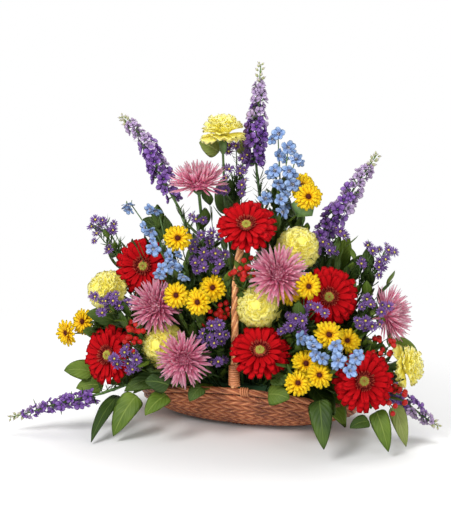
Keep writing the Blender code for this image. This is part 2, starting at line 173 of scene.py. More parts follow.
def stemPaint(low, high):
    def paint(graph):
        cloud = graph.clouds(60.0, 3.0)
        return graph.mix(cloud.ramp(0.3, 0.7), low, high), graph.bump(graph.clouds(700.0), 0.0003, 0.4)
    return paint


def leafPaint(deep, fresh, rib):
    def paint(graph):
        u, v = graph.across()
        side = (u - 0.5).size()
        veins = ((v * 7.0 - side * 5.0) * fullTurn).sine()
        cloud = graph.clouds(18.0, 2.0)
        blade = graph.mix(cloud.ramp(0.35, 0.68), deep, fresh)
        lined = graph.mix(veins.ramp(0.80, 1.0) * 0.25, blade, rib)
        middle = 1.0 - side.ramp(0.012, 0.045)
        colour = graph.mix(middle * 0.85, lined, rib)
        return colour, graph.bump(veins * 0.4 - middle, 0.0008, 0.6)
    return paint


def rodPaint(dark, mid, pale):
    def paint(graph):
        broad = graph.clouds(34.0, 3.0)
        fine = graph.clouds(420.0, 2.0)
        base = graph.mix(broad.ramp(0.32, 0.62), dark, mid)
        colour = graph.mix(fine.ramp(0.5, 0.8) * 0.7, base, pale)
        return colour, graph.bump(fine, 0.0004, 0.6)
    return paint

matt = {"Specular IOR Level": 0.22}
dull = {"Specular IOR Level": 0.10}
# painted light: a faint yellow glow on the carnation petals that lifts the shade between them
paintedGlow = {"Emission Color": (0.92, 0.80, 0.12, 1.0), "Emission Strength": 0.08}
soft = {"Specular IOR Level": 0.2, "Subsurface Weight": 0.5, "Subsurface Scale": 0.006,
        "Subsurface Radius": (1.0, 1.0, 0.8)}
plantPaints = [  # look, material, paint, its colours, streak and ribs, roughness, other sockets
    ("stem", "stem_skin", stemPaint, ((0.040, 0.10, 0.02), (0.13, 0.23, 0.06)), (), 0.5, {}),
    ("foliage", "fine_foliage", stemPaint, ((0.022, 0.052, 0.010), (0.070, 0.120, 0.022)), (), 0.55, matt),
    ("leafDeep", "leaf_deep", leafPaint,
     ((0.024, 0.052, 0.007), (0.065, 0.115, 0.014), (0.10, 0.155, 0.030)), (), 0.5, matt),
    ("leafFresh", "leaf_fresh", leafPaint,
     ((0.070, 0.125, 0.011), (0.150, 0.225, 0.026), (0.20, 0.27, 0.05)), (), 0.5, matt),
    ("leafOlive", "leaf_olive", leafPaint,
     ((0.15, 0.20, 0.040), (0.27, 0.32, 0.09), (0.33, 0.37, 0.13)), (), 0.5, matt),
    ("gerberaRed", "gerbera_petal", petalPaint,
     ((0.24, 0.001, 0.003), (0.47, 0.001, 0.004), (0.55, 0.002, 0.006)), (0.25,), 0.7, dull),
    ("gerberaDark", "gerbera_inner", petalPaint,
     ((0.10, 0.002, 0.004), (0.28, 0.004, 0.008), (0.62, 0.10, 0.05)), (), 0.6, matt),
    ("gerberaEye", "gerbera_disc", petalPaint,
     ((0.20, 0.24, 0.02), (0.50, 0.50, 0.05), (0.70, 0.66, 0.12)), (), 0.6, {}),
    ("carnation", "carnation_petal", petalPaint,
     ((0.58, 0.50, 0.06), (0.86, 0.77, 0.13), (0.90, 0.82, 0.19)), (0.0, 1), 0.6, {**paintedGlow, **soft}),
    ("mum", "mum_petal", petalPaint,
     ((0.56, 0.055, 0.16), (0.84, 0.165, 0.32), (0.93, 0.33, 0.47)), (0.10, 3), 0.55, soft),
    ("daisy", "daisy_petal", petalPaint,
     ((0.88, 0.32, 0.002), (1.0, 0.60, 0.004), (1.0, 0.70, 0.008)), (0.1, 3), 0.5, matt),
    ("daisyEye", "daisy_disc", petalPaint,
     ((0.02, 0.003, 0.002), (0.055, 0.008, 0.005), (0.12, 0.02, 0.01)), (), 0.7, matt),
    ("larkspur", "larkspur_petal", petalPaint,
     ((0.12, 0.04, 0.24), (0.19, 0.075, 0.36), (0.32, 0.17, 0.52)), (0.35, 3), 0.5, {}),
    ("larkspurPale", "larkspur_upper", petalPaint,
     ((0.36, 0.27, 0.42), (0.44, 0.31, 0.54), (0.62, 0.48, 0.68)), (0.3, 3), 0.5, {}),
    ("larkspurBud", "larkspur_bud", petalPaint,
     ((0.26, 0.34, 0.08), (0.46, 0.46, 0.26), (0.54, 0.46, 0.60)), (0.3, 3), 0.5, {}),
    ("delphinium", "delphinium_petal", petalPaint,
     ((0.46, 0.54, 0.82), (0.22, 0.36, 0.68), (0.40, 0.56, 0.84)), (0.5, 3), 0.5, {}),
    ("bee", "delphinium_bee", petalPaint,
     ((0.80, 0.80, 0.84), (0.86, 0.85, 0.86), (0.34, 0.26, 0.34)), (), 0.6, {}),
    ("aster", "aster_petal", petalPaint,
     ((0.15, 0.055, 0.28), (0.19, 0.08, 0.35), (0.33, 0.18, 0.52)), (0.35, 3), 0.5, {}),
    ("asterEye", "aster_disc", petalPaint,
     ((0.55, 0.40, 0.03), (0.72, 0.55, 0.05), (0.80, 0.66, 0.12)), (), 0.6, {}),
    ("calyx", "calyx_skin", stemPaint, ((0.07, 0.16, 0.03), (0.16, 0.28, 0.08)), (), 0.5, {}),
    ("berry", "berry_skin", petalPaint,
     ((0.62, 0.30, 0.08), (0.56, 0.022, 0.014), (0.42, 0.008, 0.010)), (0.2, 1), 0.35, matt),
]
looks = {look: surface(material, paint(*colours, *extra), roughness, **others)
         for look, material, paint, colours, extra, roughness, others in plantPaints}
lookNames = list(looks)
rodPaints = [  # material, its colours from dark to pale, roughness
    ("willow_rod", ((0.16, 0.036, 0.014), (0.36, 0.095, 0.032), (0.54, 0.19, 0.075)), 0.42),
    ("pale_willow_rod", ((0.34, 0.11, 0.040), (0.62, 0.235, 0.095), (0.86, 0.42, 0.20)), 0.42),
    # painted shade: the near-black skin behind the weave that darkens the gaps between its rods
    ("painted_shade_skin", ((0.02, 0.006, 0.003), (0.035, 0.012, 0.006), (0.05, 0.02, 0.01)), 0.8),
    ("golden_cane", ((0.60, 0.22, 0.07), (0.95, 0.47, 0.19), (0.96, 0.70, 0.40)), 0.36),
]
willow, paleWillow, shade, cane = [surface(name, rodPaint(*colours), roughness)
                                   for name, colours, roughness in rodPaints]
print("materials made")


# A thin closed mesh over a grid of (place, upward direction) rows; both faces share their edge.
def closedSheet(rows, look, halfThick):
    bm = bmesh.new()
    uvLayer = bm.loops.layers.uv.new("UVMap")
    count, width = len(rows), len(rows[0])
    sides = []
    for sign in (1, -1):
        grid = []
        for i, row in enumerate(rows):
            line = []
            for j, (place, up) in enumerate(row):
                edge = i in (0, count - 1) or j in (0, width - 1)
                if edge and sides:
                    line.append(sides[0][i][j])
                else:
                    line.append(bm.verts.new(place + up * (0 if edge else sign * halfThick)))
            grid.append(line)
        sides.append(grid)
    for sign, grid in zip((1, -1), sides):
        for i in range(count - 1):
            for j in range(width - 1):
                corners = [(i, j), (i, j + 1), (i + 1, j + 1), (i + 1, j)][::sign]
                face = bm.faces.new([grid[a][b] for a, b in corners])
                face.smooth = True
                for loop, (a, b) in zip(face.loops, corners):
                    loop[uvLayer].uv = (b / (width - 1), a / (count - 1))
    bmesh.ops.recalc_face_normals(bm, faces=bm.faces)
    return finishMesh(bm, look)


def finishMesh(bm, look):
    mesh = bpy.data.meshes.new("part")
    for face in bm.faces:
        face.material_index = lookNames.index(look)
        face.smooth = True
    bm.to_mesh(mesh)
    bm.free()
    for name in lookNames:
        mesh.materials.append(looks[name])
    return mesh


# A petal along +Y, its upper face to +Z. Sizes in millimetres; dish and curl are shares of them.
def petal(look, length, halfWidth, root=0.3, tip=0.25, belly=0.6, dish=0.1, curl=0.1, ruffle=0.0, waves=3,
          rows=5, columns=4, thick=0.25):
    grid = []
    for i in range(rows + 1):
        t = i / rows
        swell = math.sin(math.pi * min(t / belly, 1) / 2) if t < belly else math.cos(
            math.pi / 2 * (t - belly) / (1 - belly))
        base = root if t < belly else tip
        half = halfWidth * (base + (1 - base) * swell)
        line = []
        for j in range(columns + 1):
            s = j / columns * 2 - 1
            rise = dish * half * s * s + curl * length * t * t
            rise += ruffle * t * t * math.sin(waves * math.pi * s + 1.3)
            notch = ruffle * 0.5 * t * math.cos(waves * 2.3 * s)
            bow = -0.10 * length * s * s * t if tip > 0.6 else 0.0
            line.append((Vector((s * half, t * length + notch + bow, rise)) * mm, Vector((0, 0, mm))))
        grid.append(line)
    return closedSheet(grid, look, thick)


# A closed turned body from (radius, height) pairs, low to high; both ends close to a point.
def turned(look, outline, sides=10):
    bm = bmesh.new()
    uvLayer = bm.loops.layers.uv.new("UVMap")
    low = bm.verts.new((0, 0, outline[0][1] * mm))
    high = bm.verts.new((0, 0, outline[-1][1] * mm))
    rings = []
    for radius, height in outline[1:-1]:
        angles = [fullTurn * k / sides for k in range(sides)]
        wide = radius * mm
        rings.append([bm.verts.new((wide * math.cos(a), wide * math.sin(a), height * mm)) for a in angles])
    heights = [h for _, h in outline]
    spanLow, spanHigh = min(heights), max(heights)
    for k in range(sides):
        n = (k + 1) % sides
        bm.faces.new((low, rings[0][n], rings[0][k]))
        bm.faces.new((high, rings[-1][k], rings[-1][n]))
        for a, b in zip(rings, rings[1:]):
            bm.faces.new((a[k], a[n], b[n], b[k]))
    bmesh.ops.recalc_face_normals(bm, faces=bm.faces)
    for face in bm.faces:
        for loop in face.loops:
            share = (loop.vert.co.z / mm - spanLow) / (spanHigh - spanLow)
            loop[uvLayer].uv = (math.atan2(loop.vert.co.y, loop.vert.co.x) / fullTurn + 0.5, share)
    return finishMesh(bm, look)


whorlInputs = [
    ("Petal", "NodeSocketObject", None), ("Count", "NodeSocketInt", 10), ("Step", "NodeSocketFloat", golden),
    ("Radius In", "NodeSocketFloat", 0.0), ("Radius Out", "NodeSocketFloat", 0.01),
    ("Lift In", "NodeSocketFloat", 0.0), ("Lift Out", "NodeSocketFloat", 0.0),
    ("Tilt In", "NodeSocketFloat", 0.0), ("Tilt Out", "NodeSocketFloat", 0.0),
    ("Size In", "NodeSocketFloat", 1.0), ("Size Out", "NodeSocketFloat", 1.0),
    ("Spread", "NodeSocketFloat", 0.1), ("Seed", "NodeSocketInt", 1),
    ("Material", "NodeSocketMaterial", None)]


def nodeTree(name, wanted):
    tree = bpy.data.node_groups.new(name, "GeometryNodeTree")
    tree.interface.new_socket("Geometry", in_out="INPUT", socket_type="NodeSocketGeometry")
    tree.interface.new_socket("Geometry", in_out="OUTPUT", socket_type="NodeSocketGeometry")
    for label, kind, value in wanted:
        socket = tree.interface.new_socket(label, in_out="INPUT", socket_type=kind)
        if value is not None:
            socket.default_value = value
    start = tree.nodes.new("NodeGroupInput")
    graph = Graph(tree)
    asked = {label: Signal(graph, start.outputs[label]) for label, _, _ in wanted}
    asked["Geometry"] = Signal(graph, start.outputs["Geometry"])
    return tree, graph, asked


def endTree(tree, graph, geometry, material):
    painted = graph.add("GeometryNodeSetMaterial", {}, {"Geometry": geometry, "Material": material})
    end = tree.nodes.new("NodeGroupOutput")
    tree.links.new(painted.socket, end.inputs[0])


def buildWhorlTree():
    tree, graph, asked = nodeTree("whorl", whorlInputs)
    index = graph.add("GeometryNodeInputIndex", {}, {})
    share = ((index + 0.5) / asked["Count"]) ** 0.5
    angle = index * asked["Step"]

    def scatter(low, high, offset):
        node = tree.nodes.new("FunctionNodeRandomValue")
        node.data_type = "FLOAT"
        graph.link(low, node.inputs[2])
        graph.link(high, node.inputs[3])
        graph.link(index, node.inputs[7])
        graph.link(asked["Seed"] + offset, node.inputs[8])
        return Signal(graph, node.outputs[1])

    def between(label, amount):
        first, last = asked[label + " In"], asked[label + " Out"]
        return first + (last - first) * amount

    radius = between("Radius", share)
    lift = between("Lift", share * share)
    wobble = angle + scatter(-0.5, 0.5, 0) * asked["Spread"]
    tilt = between("Tilt", share) + scatter(-1.0, 1.0, 1) * asked["Spread"]
    cosine = graph.add("ShaderNodeMath", {"operation": "COSINE"}, {0: wobble})
    inputs = {0: wobble.sine() * radius * -1.0, 1: cosine * radius, 2: lift}
    place = graph.add("ShaderNodeCombineXYZ", {}, inputs)
    roll = scatter(-1.0, 1.0, 2) * asked["Spread"]
    turn = graph.add("ShaderNodeCombineXYZ", {}, {0: tilt, 1: roll, 2: wobble})
    size = between("Size", share) * (1.0 + scatter(-0.4, 0.4, 3) * asked["Spread"])
    points = graph.add("GeometryNodePoints", {}, {"Count": asked["Count"], "Position": place})
    shape = graph.add("GeometryNodeObjectInfo", {}, {"Object": asked["Petal"]}, "Geometry")
    evenSize = graph.add("ShaderNodeCombineXYZ", {}, {0: size, 1: size, 2: size})
    inputs = {"Points": points, "Instance": shape, "Rotation": turn, "Scale": evenSize}
    spread = graph.add("GeometryNodeInstanceOnPoints", {}, inputs)
    real = graph.add("GeometryNodeRealizeInstances", {}, {"Geometry": spread})
    endTree(tree, graph, real, asked["Material"])
    return tree


ropeInputs = [
    ("Strands", "NodeSocketInt", 3), ("Turns", "NodeSocketFloat", 10.0),
    ("Twist Radius", "NodeSocketFloat", 0.002), ("Rod Radius", "NodeSocketFloat", 0.0018),
    ("Step Length", "NodeSocketFloat", 0.004),
    ("Phase", "NodeSocketFloat", 0.0), ("Material", "NodeSocketMaterial", None)]


def buildRopeTree():
    tree, graph, asked = nodeTree("rope", ropeInputs)
    curve = graph.add("GeometryNodeMeshToCurve", {}, {"Mesh": asked["Geometry"]})
    inputs = {"Curve": curve, "Length": asked["Step Length"]}
    even = graph.add("GeometryNodeResampleCurve", {"mode": "LENGTH"}, inputs)
    copies = tree.nodes.new("GeometryNodeDuplicateElements")
    copies.domain = "SPLINE"
    graph.link(even, copies.inputs["Geometry"])
    graph.link(asked["Strands"], copies.inputs["Amount"])
    strand = Signal(graph, copies.outputs["Duplicate Index"])
    along = graph.add("GeometryNodeSplineParameter", {}, {}, "Factor")
    phase = (strand / asked["Strands"] + along * asked["Turns"] + asked["Phase"]) * fullTurn
    cosine = graph.add("ShaderNodeMath", {"operation": "COSINE"}, {0: phase})
    normal = graph.add("GeometryNodeInputNormal", {}, {})
    tangent = graph.add("GeometryNodeInputTangent", {}, {})
    binormal = graph.add("ShaderNodeVectorMath", {"operation": "CROSS_PRODUCT"}, {0: tangent, 1: normal})

    def scaled(vector, amount):
        node = tree.nodes.new("ShaderNodeVectorMath")
        node.operation = "SCALE"
        graph.link(vector, node.inputs[0])
        graph.link(amount, node.inputs["Scale"])
        return Signal(graph, node.outputs[0])

    first = scaled(normal, cosine * asked["Twist Radius"])
    second = scaled(binormal, phase.sine() * asked["Twist Radius"])
    offset = graph.add("ShaderNodeVectorMath", {"operation": "ADD"}, {0: first, 1: second})
    moved = graph.add("GeometryNodeSetPosition", {}, {"Geometry": Signal(graph, copies.outputs["Geometry"]),
                                                      "Offset": offset})
    inputs = {"Resolution": 6, "Radius": asked["Rod Radius"]}
    circle = graph.add("GeometryNodeCurvePrimitiveCircle", {}, inputs)
    inputs = {"Curve": moved, "Profile Curve": circle, "Fill Caps": True}
    rods = graph.add("GeometryNodeCurveToMesh", {}, inputs)
    smooth = graph.add("GeometryNodeSetShadeSmooth", {}, {"Geometry": rods})
    real = graph.add("GeometryNodeRealizeInstances", {}, {"Geometry": smooth})
    endTree(tree, graph, real, asked["Material"])
    return tree


whorlTree = buildWhorlTree()
ropeTree = buildRopeTree()


# The mesh that a tree makes from a source mesh with these named inputs.
def evaluated(source, tree, values):
    obj = bpy.data.objects.new("maker", source)
    bpy.context.scene.collection.objects.link(obj)
    modifier = obj.modifiers.new("maker", "NODES")
    modifier.node_group = tree
    names = {item.name: item.identifier for item in tree.interface.items_tree if item.in_out == "INPUT"}
    for name, value in values.items():
        modifier[names[name]] = value
    obj.update_tag()
    depsgraph = bpy.context.evaluated_depsgraph_get()
    mesh = bpy.data.meshes.new_from_object(obj.evaluated_get(depsgraph), depsgraph=depsgraph)
    bpy.data.objects.remove(obj)
    return mesh


def pairOf(value):
    return value if isinstance(value, tuple) else (value, value)


# Petals round the +Z axis. Each pair of values runs from the inmost petal to the outmost. Even petals stand
# at equal angles, the others at the golden angle.
def whorl(petalMesh, count, radius, lift=0, tilt=0, size=1, even=False, spread=0.1, seed=1):
    look = lookNames[petalMesh.polygons[0].material_index]
    holder = bpy.data.objects.new("petal", petalMesh)
    bpy.context.scene.collection.objects.link(holder)
    holder.hide_render = True
    values = {"Petal": holder, "Count": count, "Step": fullTurn / count if even else golden, "Seed": seed,
              "Spread": spread, "Material": looks[look]}
    for label, pair, unit in (("Radius", radius, mm), ("Lift", lift, mm), ("Tilt", tilt, math.pi / 180),
                              ("Size", size, 1.0)):
        inmost, outmost = pairOf(pair)
        values[label + " In"] = inmost * unit
        values[label + " Out"] = outmost * unit
    mesh = evaluated(bpy.data.meshes.new("empty"), whorlTree, values)
    bpy.data.objects.remove(holder)
    return onlyLook(mesh, look)


# The mesh with the whole palette of plant materials, all of it painted with one of them.
def onlyLook(mesh, look):
    mesh.materials.clear()
    for name in lookNames:
        mesh.materials.append(looks[name])
    index = lookNames.index(look)
    mesh.polygons.foreach_set("material_index", [index] * len(mesh.polygons))
    return mesh


# One mesh from (mesh, matrix) pairs.
def merged(parts):
    bm = bmesh.new()
    for mesh, matrix in parts:
        copy = mesh.copy()
        copy.transform(matrix)
        bm.from_mesh(copy)
        bpy.data.meshes.remove(copy)
    whole = bpy.data.meshes.new("whole")
    bm.to_mesh(whole)
    bm.free()
    for name in lookNames:
        whole.materials.append(looks[name])
    return whole


def together(*meshes):
    return merged([(mesh, Matrix.Identity(4)) for mesh in meshes])


# Flower heads: +Z is the way the flower faces, and its front is at zero. Petals are given by length and half
# width, in millimetres.
gerbera = {"ray": (34, 5.7), "rays": 22, "innerRay": (26, 4.4), "innerRays": 20, "fringe": 70, "beads": 70}


def gerberaHead(seed):
    ray = petal("gerberaRed", *gerbera["ray"], root=0.42, tip=0.55, belly=0.64, dish=0.20, curl=-0.06, rows=6)
    inner = petal("gerberaRed", *gerbera["innerRay"], root=0.4, tip=0.55, belly=0.6, dish=0.3, curl=-0.02)
    fringe = petal("gerberaDark", 7.5, 1.0, rows=2, columns=2, curl=0.2)
    bead = turned("gerberaEye", [(0, -1.6), (0.75, -0.8), (0.6, 0.6), (0, 1.2)], 5)
    calyx = petal("calyx", 13, 2.2, rows=2, columns=2)
    rays, fewer = gerbera["rays"], gerbera["innerRays"]
    return together(
        whorl(ray, rays, 11, (-9.6, -8.4), 2, even=True, spread=0.14, seed=seed),
        whorl(ray, fewer, 10, (-7.2, -6.8), 8, 0.93, even=True, spread=0.17, seed=seed + 1),
        whorl(inner, fewer, 9, -5.4, 16, even=True, spread=0.15, seed=seed + 2),
        whorl(fringe, gerbera["fringe"], (6.4, 9.5), (-3.8, -4.6), (58, 30), (0.75, 1.15), spread=0.2,
              seed=seed + 3),
        whorl(bead, gerbera["beads"], (0.6, 6.6), (-2.4, -3.2), (0, 40), (0.9, 1.1), seed=seed + 4),
        turned("gerberaDark", [(0, -10), (12, -8), (10.5, -4.5), (0, -3.4)], 16),
        whorl(calyx, rays, 3, -18, 38, even=True, seed=seed + 5))


carnation = {"frill": (27, 16), "middle": (21, 13), "counts": (12, 11, 9, 7)}


def carnationHead(seed):
    shape = {"tip": 0.9, "belly": 0.9, "ruffle": 2.2}
    frill = petal("carnation", *carnation["frill"], root=0.16, dish=0.06, curl=-0.30, waves=2.6, rows=6,
                  columns=12, **shape)
    middle = petal("carnation", *carnation["middle"], root=0.2, dish=0.16, curl=-0.24, waves=2.2, rows=5,
                   columns=10, **shape)
    outer, second, third, heart = carnation["counts"]
    return together(
        whorl(frill, outer, (3, 4), (-31, -33), (30, 4), (1, 1.05), spread=0.16, seed=seed),
        whorl(frill, second, 3, (-28, -29), (58, 34), (0.94, 1.0), spread=0.16, seed=seed + 1),
        whorl(middle, third, (3, 5), (-22, -23), (74, 52), (0.95, 1.1), spread=0.2, seed=seed + 2),
        whorl(middle, heart, (0.5, 3), (-20, -21), (92, 70), (0.8, 0.95), spread=0.3, seed=seed + 3),
        turned("carnation", [(0, -34), (6, -31), (15, -23), (14, -12), (6, -6), (0, -5)], 12))


mum = {"ray": (34, 2.0), "curled": (25, 1.8), "counts": (40, 46, 54, 64)}


def mumHead(seed):
    shape = {"root": 0.5, "tip": 0.35, "belly": 0.55, "columns": 3}
    ray = petal("mum", *mum["ray"], dish=0.5, curl=0.10, rows=6, **shape)
    curled = petal("mum", *mum["curled"], dish=0.6, curl=0.30, rows=5, **shape)
    outer, second, third, heart = mum["counts"]
    return together(
        whorl(ray, outer, (10, 12), (-26, -27), (6, -6), spread=0.22, seed=seed),
        whorl(ray, second, (9, 12), (-22, -24), (26, 8), (0.94, 1.0), spread=0.24, seed=seed + 1),
        whorl(curled, third, (7, 13), (-18, -21), (48, 24), (0.95, 1.15), spread=0.24, seed=seed + 2),
        whorl(curled, heart, (1, 9), (-15, -17), (84, 44), (0.50, 0.92), spread=0.2, seed=seed + 3),
        turned("mum", [(0, -34), (14, -30), (15, -22), (8, -13), (0, -11)], 14))


daisy = {"ray": (17.5, 3.1), "short": (13.5, 2.6), "counts": (17, 16, 13), "beads": 30}


def daisyHead(seed):
    shape = {"root": 0.5, "belly": 0.6, "columns": 3}
    ray = petal("daisy", *daisy["ray"], tip=0.55, dish=0.25, curl=-0.05, rows=4, **shape)
    short = petal("daisy", *daisy["short"], tip=0.5, dish=0.3, curl=0.05, rows=3, **shape)
    bead = turned("daisyEye", [(0, -0.8), (0.5, -0.3), (0.4, 0.4), (0, 0.7)], 4)
    outer, second, inner = daisy["counts"]
    return together(
        whorl(ray, outer, 3.8, -4.8, 0, even=True, spread=0.2, seed=seed),
        whorl(ray, second, 3.4, -3.8, 9, 0.93, even=True, spread=0.2, seed=seed + 1),
        whorl(short, inner, 3.0, -2.9, 22, even=True, spread=0.24, seed=seed + 3),
        turned("daisyEye", [(0, -5.5), (4.2, -4.0), (3.8, -1.6), (2.0, -0.5), (0, -0.2)], 12),
        whorl(bead, daisy["beads"], (0.4, 3.6), (-0.4, -1.7), (0, 40), seed=seed + 2))


aster = {"ray": (7.6, 1.05), "rays": 19, "bract": (4.5, 0.7), "bracts": 7}


def asterHead(seed):
    ray = petal("aster", *aster["ray"], root=0.4, tip=0.35, curl=0.08, rows=3, columns=2, thick=0.15)
    bract = petal("foliage", *aster["bract"], rows=2, columns=2, thick=0.15)
    return together(
        whorl(ray, aster["rays"], 1.5, (-2.8, -2.4), 10, even=True, spread=0.32, seed=seed),
        turned("asterEye", [(0, -3.6), (1.9, -2.6), (1.5, -1.3), (0, -0.9)], 7),
        whorl(bract, aster["bracts"], 0.8, -7.6, 55, even=True, seed=seed + 1))


floret = {"petals": 5, "widthShare": 0.44, "bee": (3.6, 1.4), "bees": 4}


def floretHead(look, reach, seed, eye=True):
    blade = petal(look, reach, reach * floret["widthShare"], root=0.25, tip=0.45, belly=0.66, dish=0.25,
                  curl=0.10, rows=3, columns=3, thick=0.2)
    parts = [whorl(blade, floret["petals"], 0.9, -3, 18, even=True, spread=0.25, seed=seed),
             turned("stem", [(0, -9), (1.1, -7), (1.5, -3.6), (0, -2.6)], 5)]
    if eye:
        bee = petal("bee", *floret["bee"], rows=2, columns=2, curl=0.3, thick=0.2)
        parts.append(whorl(bee, floret["bees"], 0.4, -2.4, 46, even=True, seed=seed + 1))
    return together(*parts)


berry = {"outline": [(0, -7.4), (2.6, -6.8), (4.5, -4.6), (4.0, -2.2), (1.6, -0.2), (0, 0.6)],
         "sepal": (5.2, 1.9), "sepals": 5}


def berryHead(seed):
    body = turned("berry", berry["outline"], 9)
    sepal = petal("foliage", *berry["sepal"], root=0.5, tip=0.15, rows=2, columns=2, curl=0.2, thick=0.2)
    return together(body, whorl(sepal, berry["sepals"], 0.8, -8, 34, even=True, seed=seed))


def florets(look, *reachesAndSeeds, eye=False):
    return [floretHead(look, reach, seed, eye) for reach, seed in reachesAndSeeds]


makers = {"gerbera": gerberaHead, "carnation": carnationHead, "mum": mumHead, "daisies": daisyHead,
          "asters": asterHead}
heads = {kind: [make(seed), make(seed + 20)] for seed, (kind, make) in enumerate(makers.items(), 11)}
heads["delphinium"] = florets("delphinium", (12.0, 16), (11.0, 36), eye=True)
heads["hypericum"] = [berryHead(17)]
larkspurHeads = florets("larkspur", (9.4, 18), (8.6, 38))
paleHeads = florets("larkspurPale", (9.0, 19), (8.2, 39))
larkspurBud = turned("larkspurBud", [(0, -3), (1.8, -1.5), (2.4, 1.5), (0, 6.0)], 6)
print("flower heads made")


# Reading the frame: the regular flat end of each stem or bloom, and the rings behind it.
def weldedShape(name):
    bm = bmesh.new()
    bm.from_mesh(nodes[name].data)
    bmesh.ops.remove_doubles(bm, verts=bm.verts, dist=1e-6)
    return bm


# Each flat face with this many sides: its centre, its outward direction, the distances to its corners and
# the length round it.
def flatFaces(bm, sides):
    flat = bm.copy()
    bmesh.ops.dissolve_limit(flat, angle_limit=0.01, verts=flat.verts, edges=flat.edges)
    found = []
    for face in flat.faces:
        if len(face.verts) == sides:
            centre = face.calc_center_median()
            reaches = [(v.co - centre).length for v in face.verts]
            found.append((centre.copy(), face.normal.copy(), reaches, face.calc_perimeter()))
    flat.free()
    return found


# (centre, outward direction) of each flat regular face whose radius is between low and high.
def regularEnds(bm, sides, low, high):
    return [(centre, direction) for centre, direction, reaches, _ in flatFaces(bm, sides)
            if max(reaches) < min(reaches) * 1.12 and low * mm < sum(reaches) / sides < high * mm]


leafTip = {"most": 0.0014, "least": 0.0006, "around": 0.0085}  # distances to its corners, length round it


# The small flat tips of a branch's leaves; the branch's own cut end is in the foam and rounder.
def leafTips(bm):
    return [(centre, direction) for centre, direction, reaches, around in flatFaces(bm, 5)
            if leafTip["least"] < min(reaches) and max(reaches) < leafTip["most"]
            and around < leafTip["around"]]


# The vertices joined to a ring that haven't been met yet.
def nextRing(ring, seen):
    following = []
    for vertex in ring:
        for edge in vertex.link_edges:
            other = edge.other_vert(vertex)
            if other not in seen:
                seen.add(other)
                following.append(other)
    return following


# The rings of vertices behind a flat end, from the end inwards.
def ringsBehind(bm, centre, direction, sides, most):
    level = [v for v in bm.verts if abs((v.co - centre).dot(direction)) < 2e-5]
    first = sorted(level, key=lambda v: (v.co - centre).length)[:sides]
    rings, seen = [first], set(first)
    while len(rings) < most:
        following = nextRing(rings[-1], seen)
        if len(following) != sides:
            break
        rings.append(following)
    return rings


def middleOf(ring):
    return sum((v.co for v in ring), Vector()) / len(ring)


# The vertices of the solid bloom behind a front.
def bloomVertices(bm, centre, direction, depth, reach):
    found = []
    for vertex in bm.verts:
        step = vertex.co - centre
        behind = -step.dot(direction)
        if -0.0005 < behind < depth * mm and (step + direction * behind).length < reach * mm:
            found.append(vertex)
    return found


# The stem that is left when the vertices of its blooms are taken off, closed again.
def bareStem(bm, doomed):
    bmesh.ops.delete(bm, geom=list(doomed), context="VERTS")
    openEdges = [e for e in bm.edges if e.is_boundary]
    bmesh.ops.holes_fill(bm, edges=openEdges, sides=12)
    bmesh.ops.recalc_face_normals(bm, faces=bm.faces)
    if not bm.loops.layers.uv:
        bm.loops.layers.uv.new("UVMap")
    return finishMesh(bm, "stem")


still = Matrix.Identity(4)


# The turn that lays a leaf along a direction, its upper face up.
def leafTurn(direction):
    return direction.to_track_quat("Y", "Z").to_matrix().to_4x4()


# The matrix that puts a flower head at a place, facing a direction.
def aimed(place, direction, spin, size=1.0):
    turn = direction.to_track_quat("Z", "Y").to_matrix().to_4x4()
    return Matrix.Translation(place) @ turn @ Matrix.Rotation(spin, 4, "Z") @ Matrix.Scale(size, 4)


# A closed round tube along the points.
def tube(points, radii, look, sides=6):
    bm = bmesh.new()
    rings = []
    side = None
    for i, point in enumerate(points):
        along = (points[min(i + 1, len(points) - 1)] - points[max(i - 1, 0)]).normalized()
        side = along.orthogonal() if side is None else side
        side = (side - along * side.dot(along)).normalized()
        up = along.cross(side)
        turns = [fullTurn * k / sides for k in range(sides)]
        offsets = [(side * math.cos(a) + up * math.sin(a)) * radii[i] for a in turns]
        rings.append([bm.verts.new(point + offset) for offset in offsets])
    for low, high in zip(rings, rings[1:]):
        for k in range(sides):
            bm.faces.new((low[k], low[(k + 1) % sides], high[(k + 1) % sides], high[k]))
    bm.faces.new(rings[0][::-1])
    bm.faces.new(rings[-1])
    bmesh.ops.recalc_face_normals(bm, faces=bm.faces)
    bm.loops.layers.uv.new("UVMap")
    return finishMesh(bm, look)


def addPiece(name, mesh, node):
    used = sorted({p.material_index for p in mesh.polygons})
    if len(mesh.materials) == len(lookNames):
        spots = {old: new for new, old in enumerate(used)}
        indices = [spots[p.material_index] for p in mesh.polygons]
        mesh.materials.clear()
        for old in used:
            mesh.materials.append(looks[lookNames[old]])
        mesh.polygons.foreach_set("material_index", indices)
    mesh.name = name
    obj = bpy.data.objects.new(name, mesh)
    bpy.context.scene.collection.objects.link(obj)
    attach(obj, "root")
    if node:
        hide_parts(node)
    return obj


kinds = {  # sides, front radius range, depth and reach of the solid that the head takes the place of, slot
    "gerbera": (8, 35, 37, 12.2, 44, "gerbera_flower"),
    "carnation": (8, 11, 13, 29.2, 28, "carnation_flower"),
    "mum": (8, 16, 18, 27.2, 42, "mum_flower"),
    "daisies": (5, 8, 10, 6.2, 21, "daisy_flower"),
    "asters": (5, 5, 6, 3.2, 6.8, "aster_flower"),
    "delphinium": (5, 7, 8, 4.2, 7.8, "delphinium_flower"),
    "hypericum": (5, 2.2, 2.6, 5.2, 5.2, "hypericum_berry"),
}
fineLeaf = petal("foliage", 19, 1.4, root=0.3, tip=0.15, belly=0.45, dish=0.2, curl=0.25, rows=4, columns=2,
                 thick=0.2)
ovalLeaf = petal("leafFresh", 24, 6.0, root=0.2, tip=0.08, belly=0.42, dish=0.2, curl=0.15, rows=6)
bladeLeaf = petal("foliage", 46, 2.0, root=0.6, tip=0.1, belly=0.4, dish=0.3, curl=0.3, rows=7, columns=2)
lobedLeaf = petal("leafDeep", 44, 13, root=0.15, tip=0.15, belly=0.5, dish=0.12, curl=0.2, ruffle=1.6, rows=8,
                  columns=6)
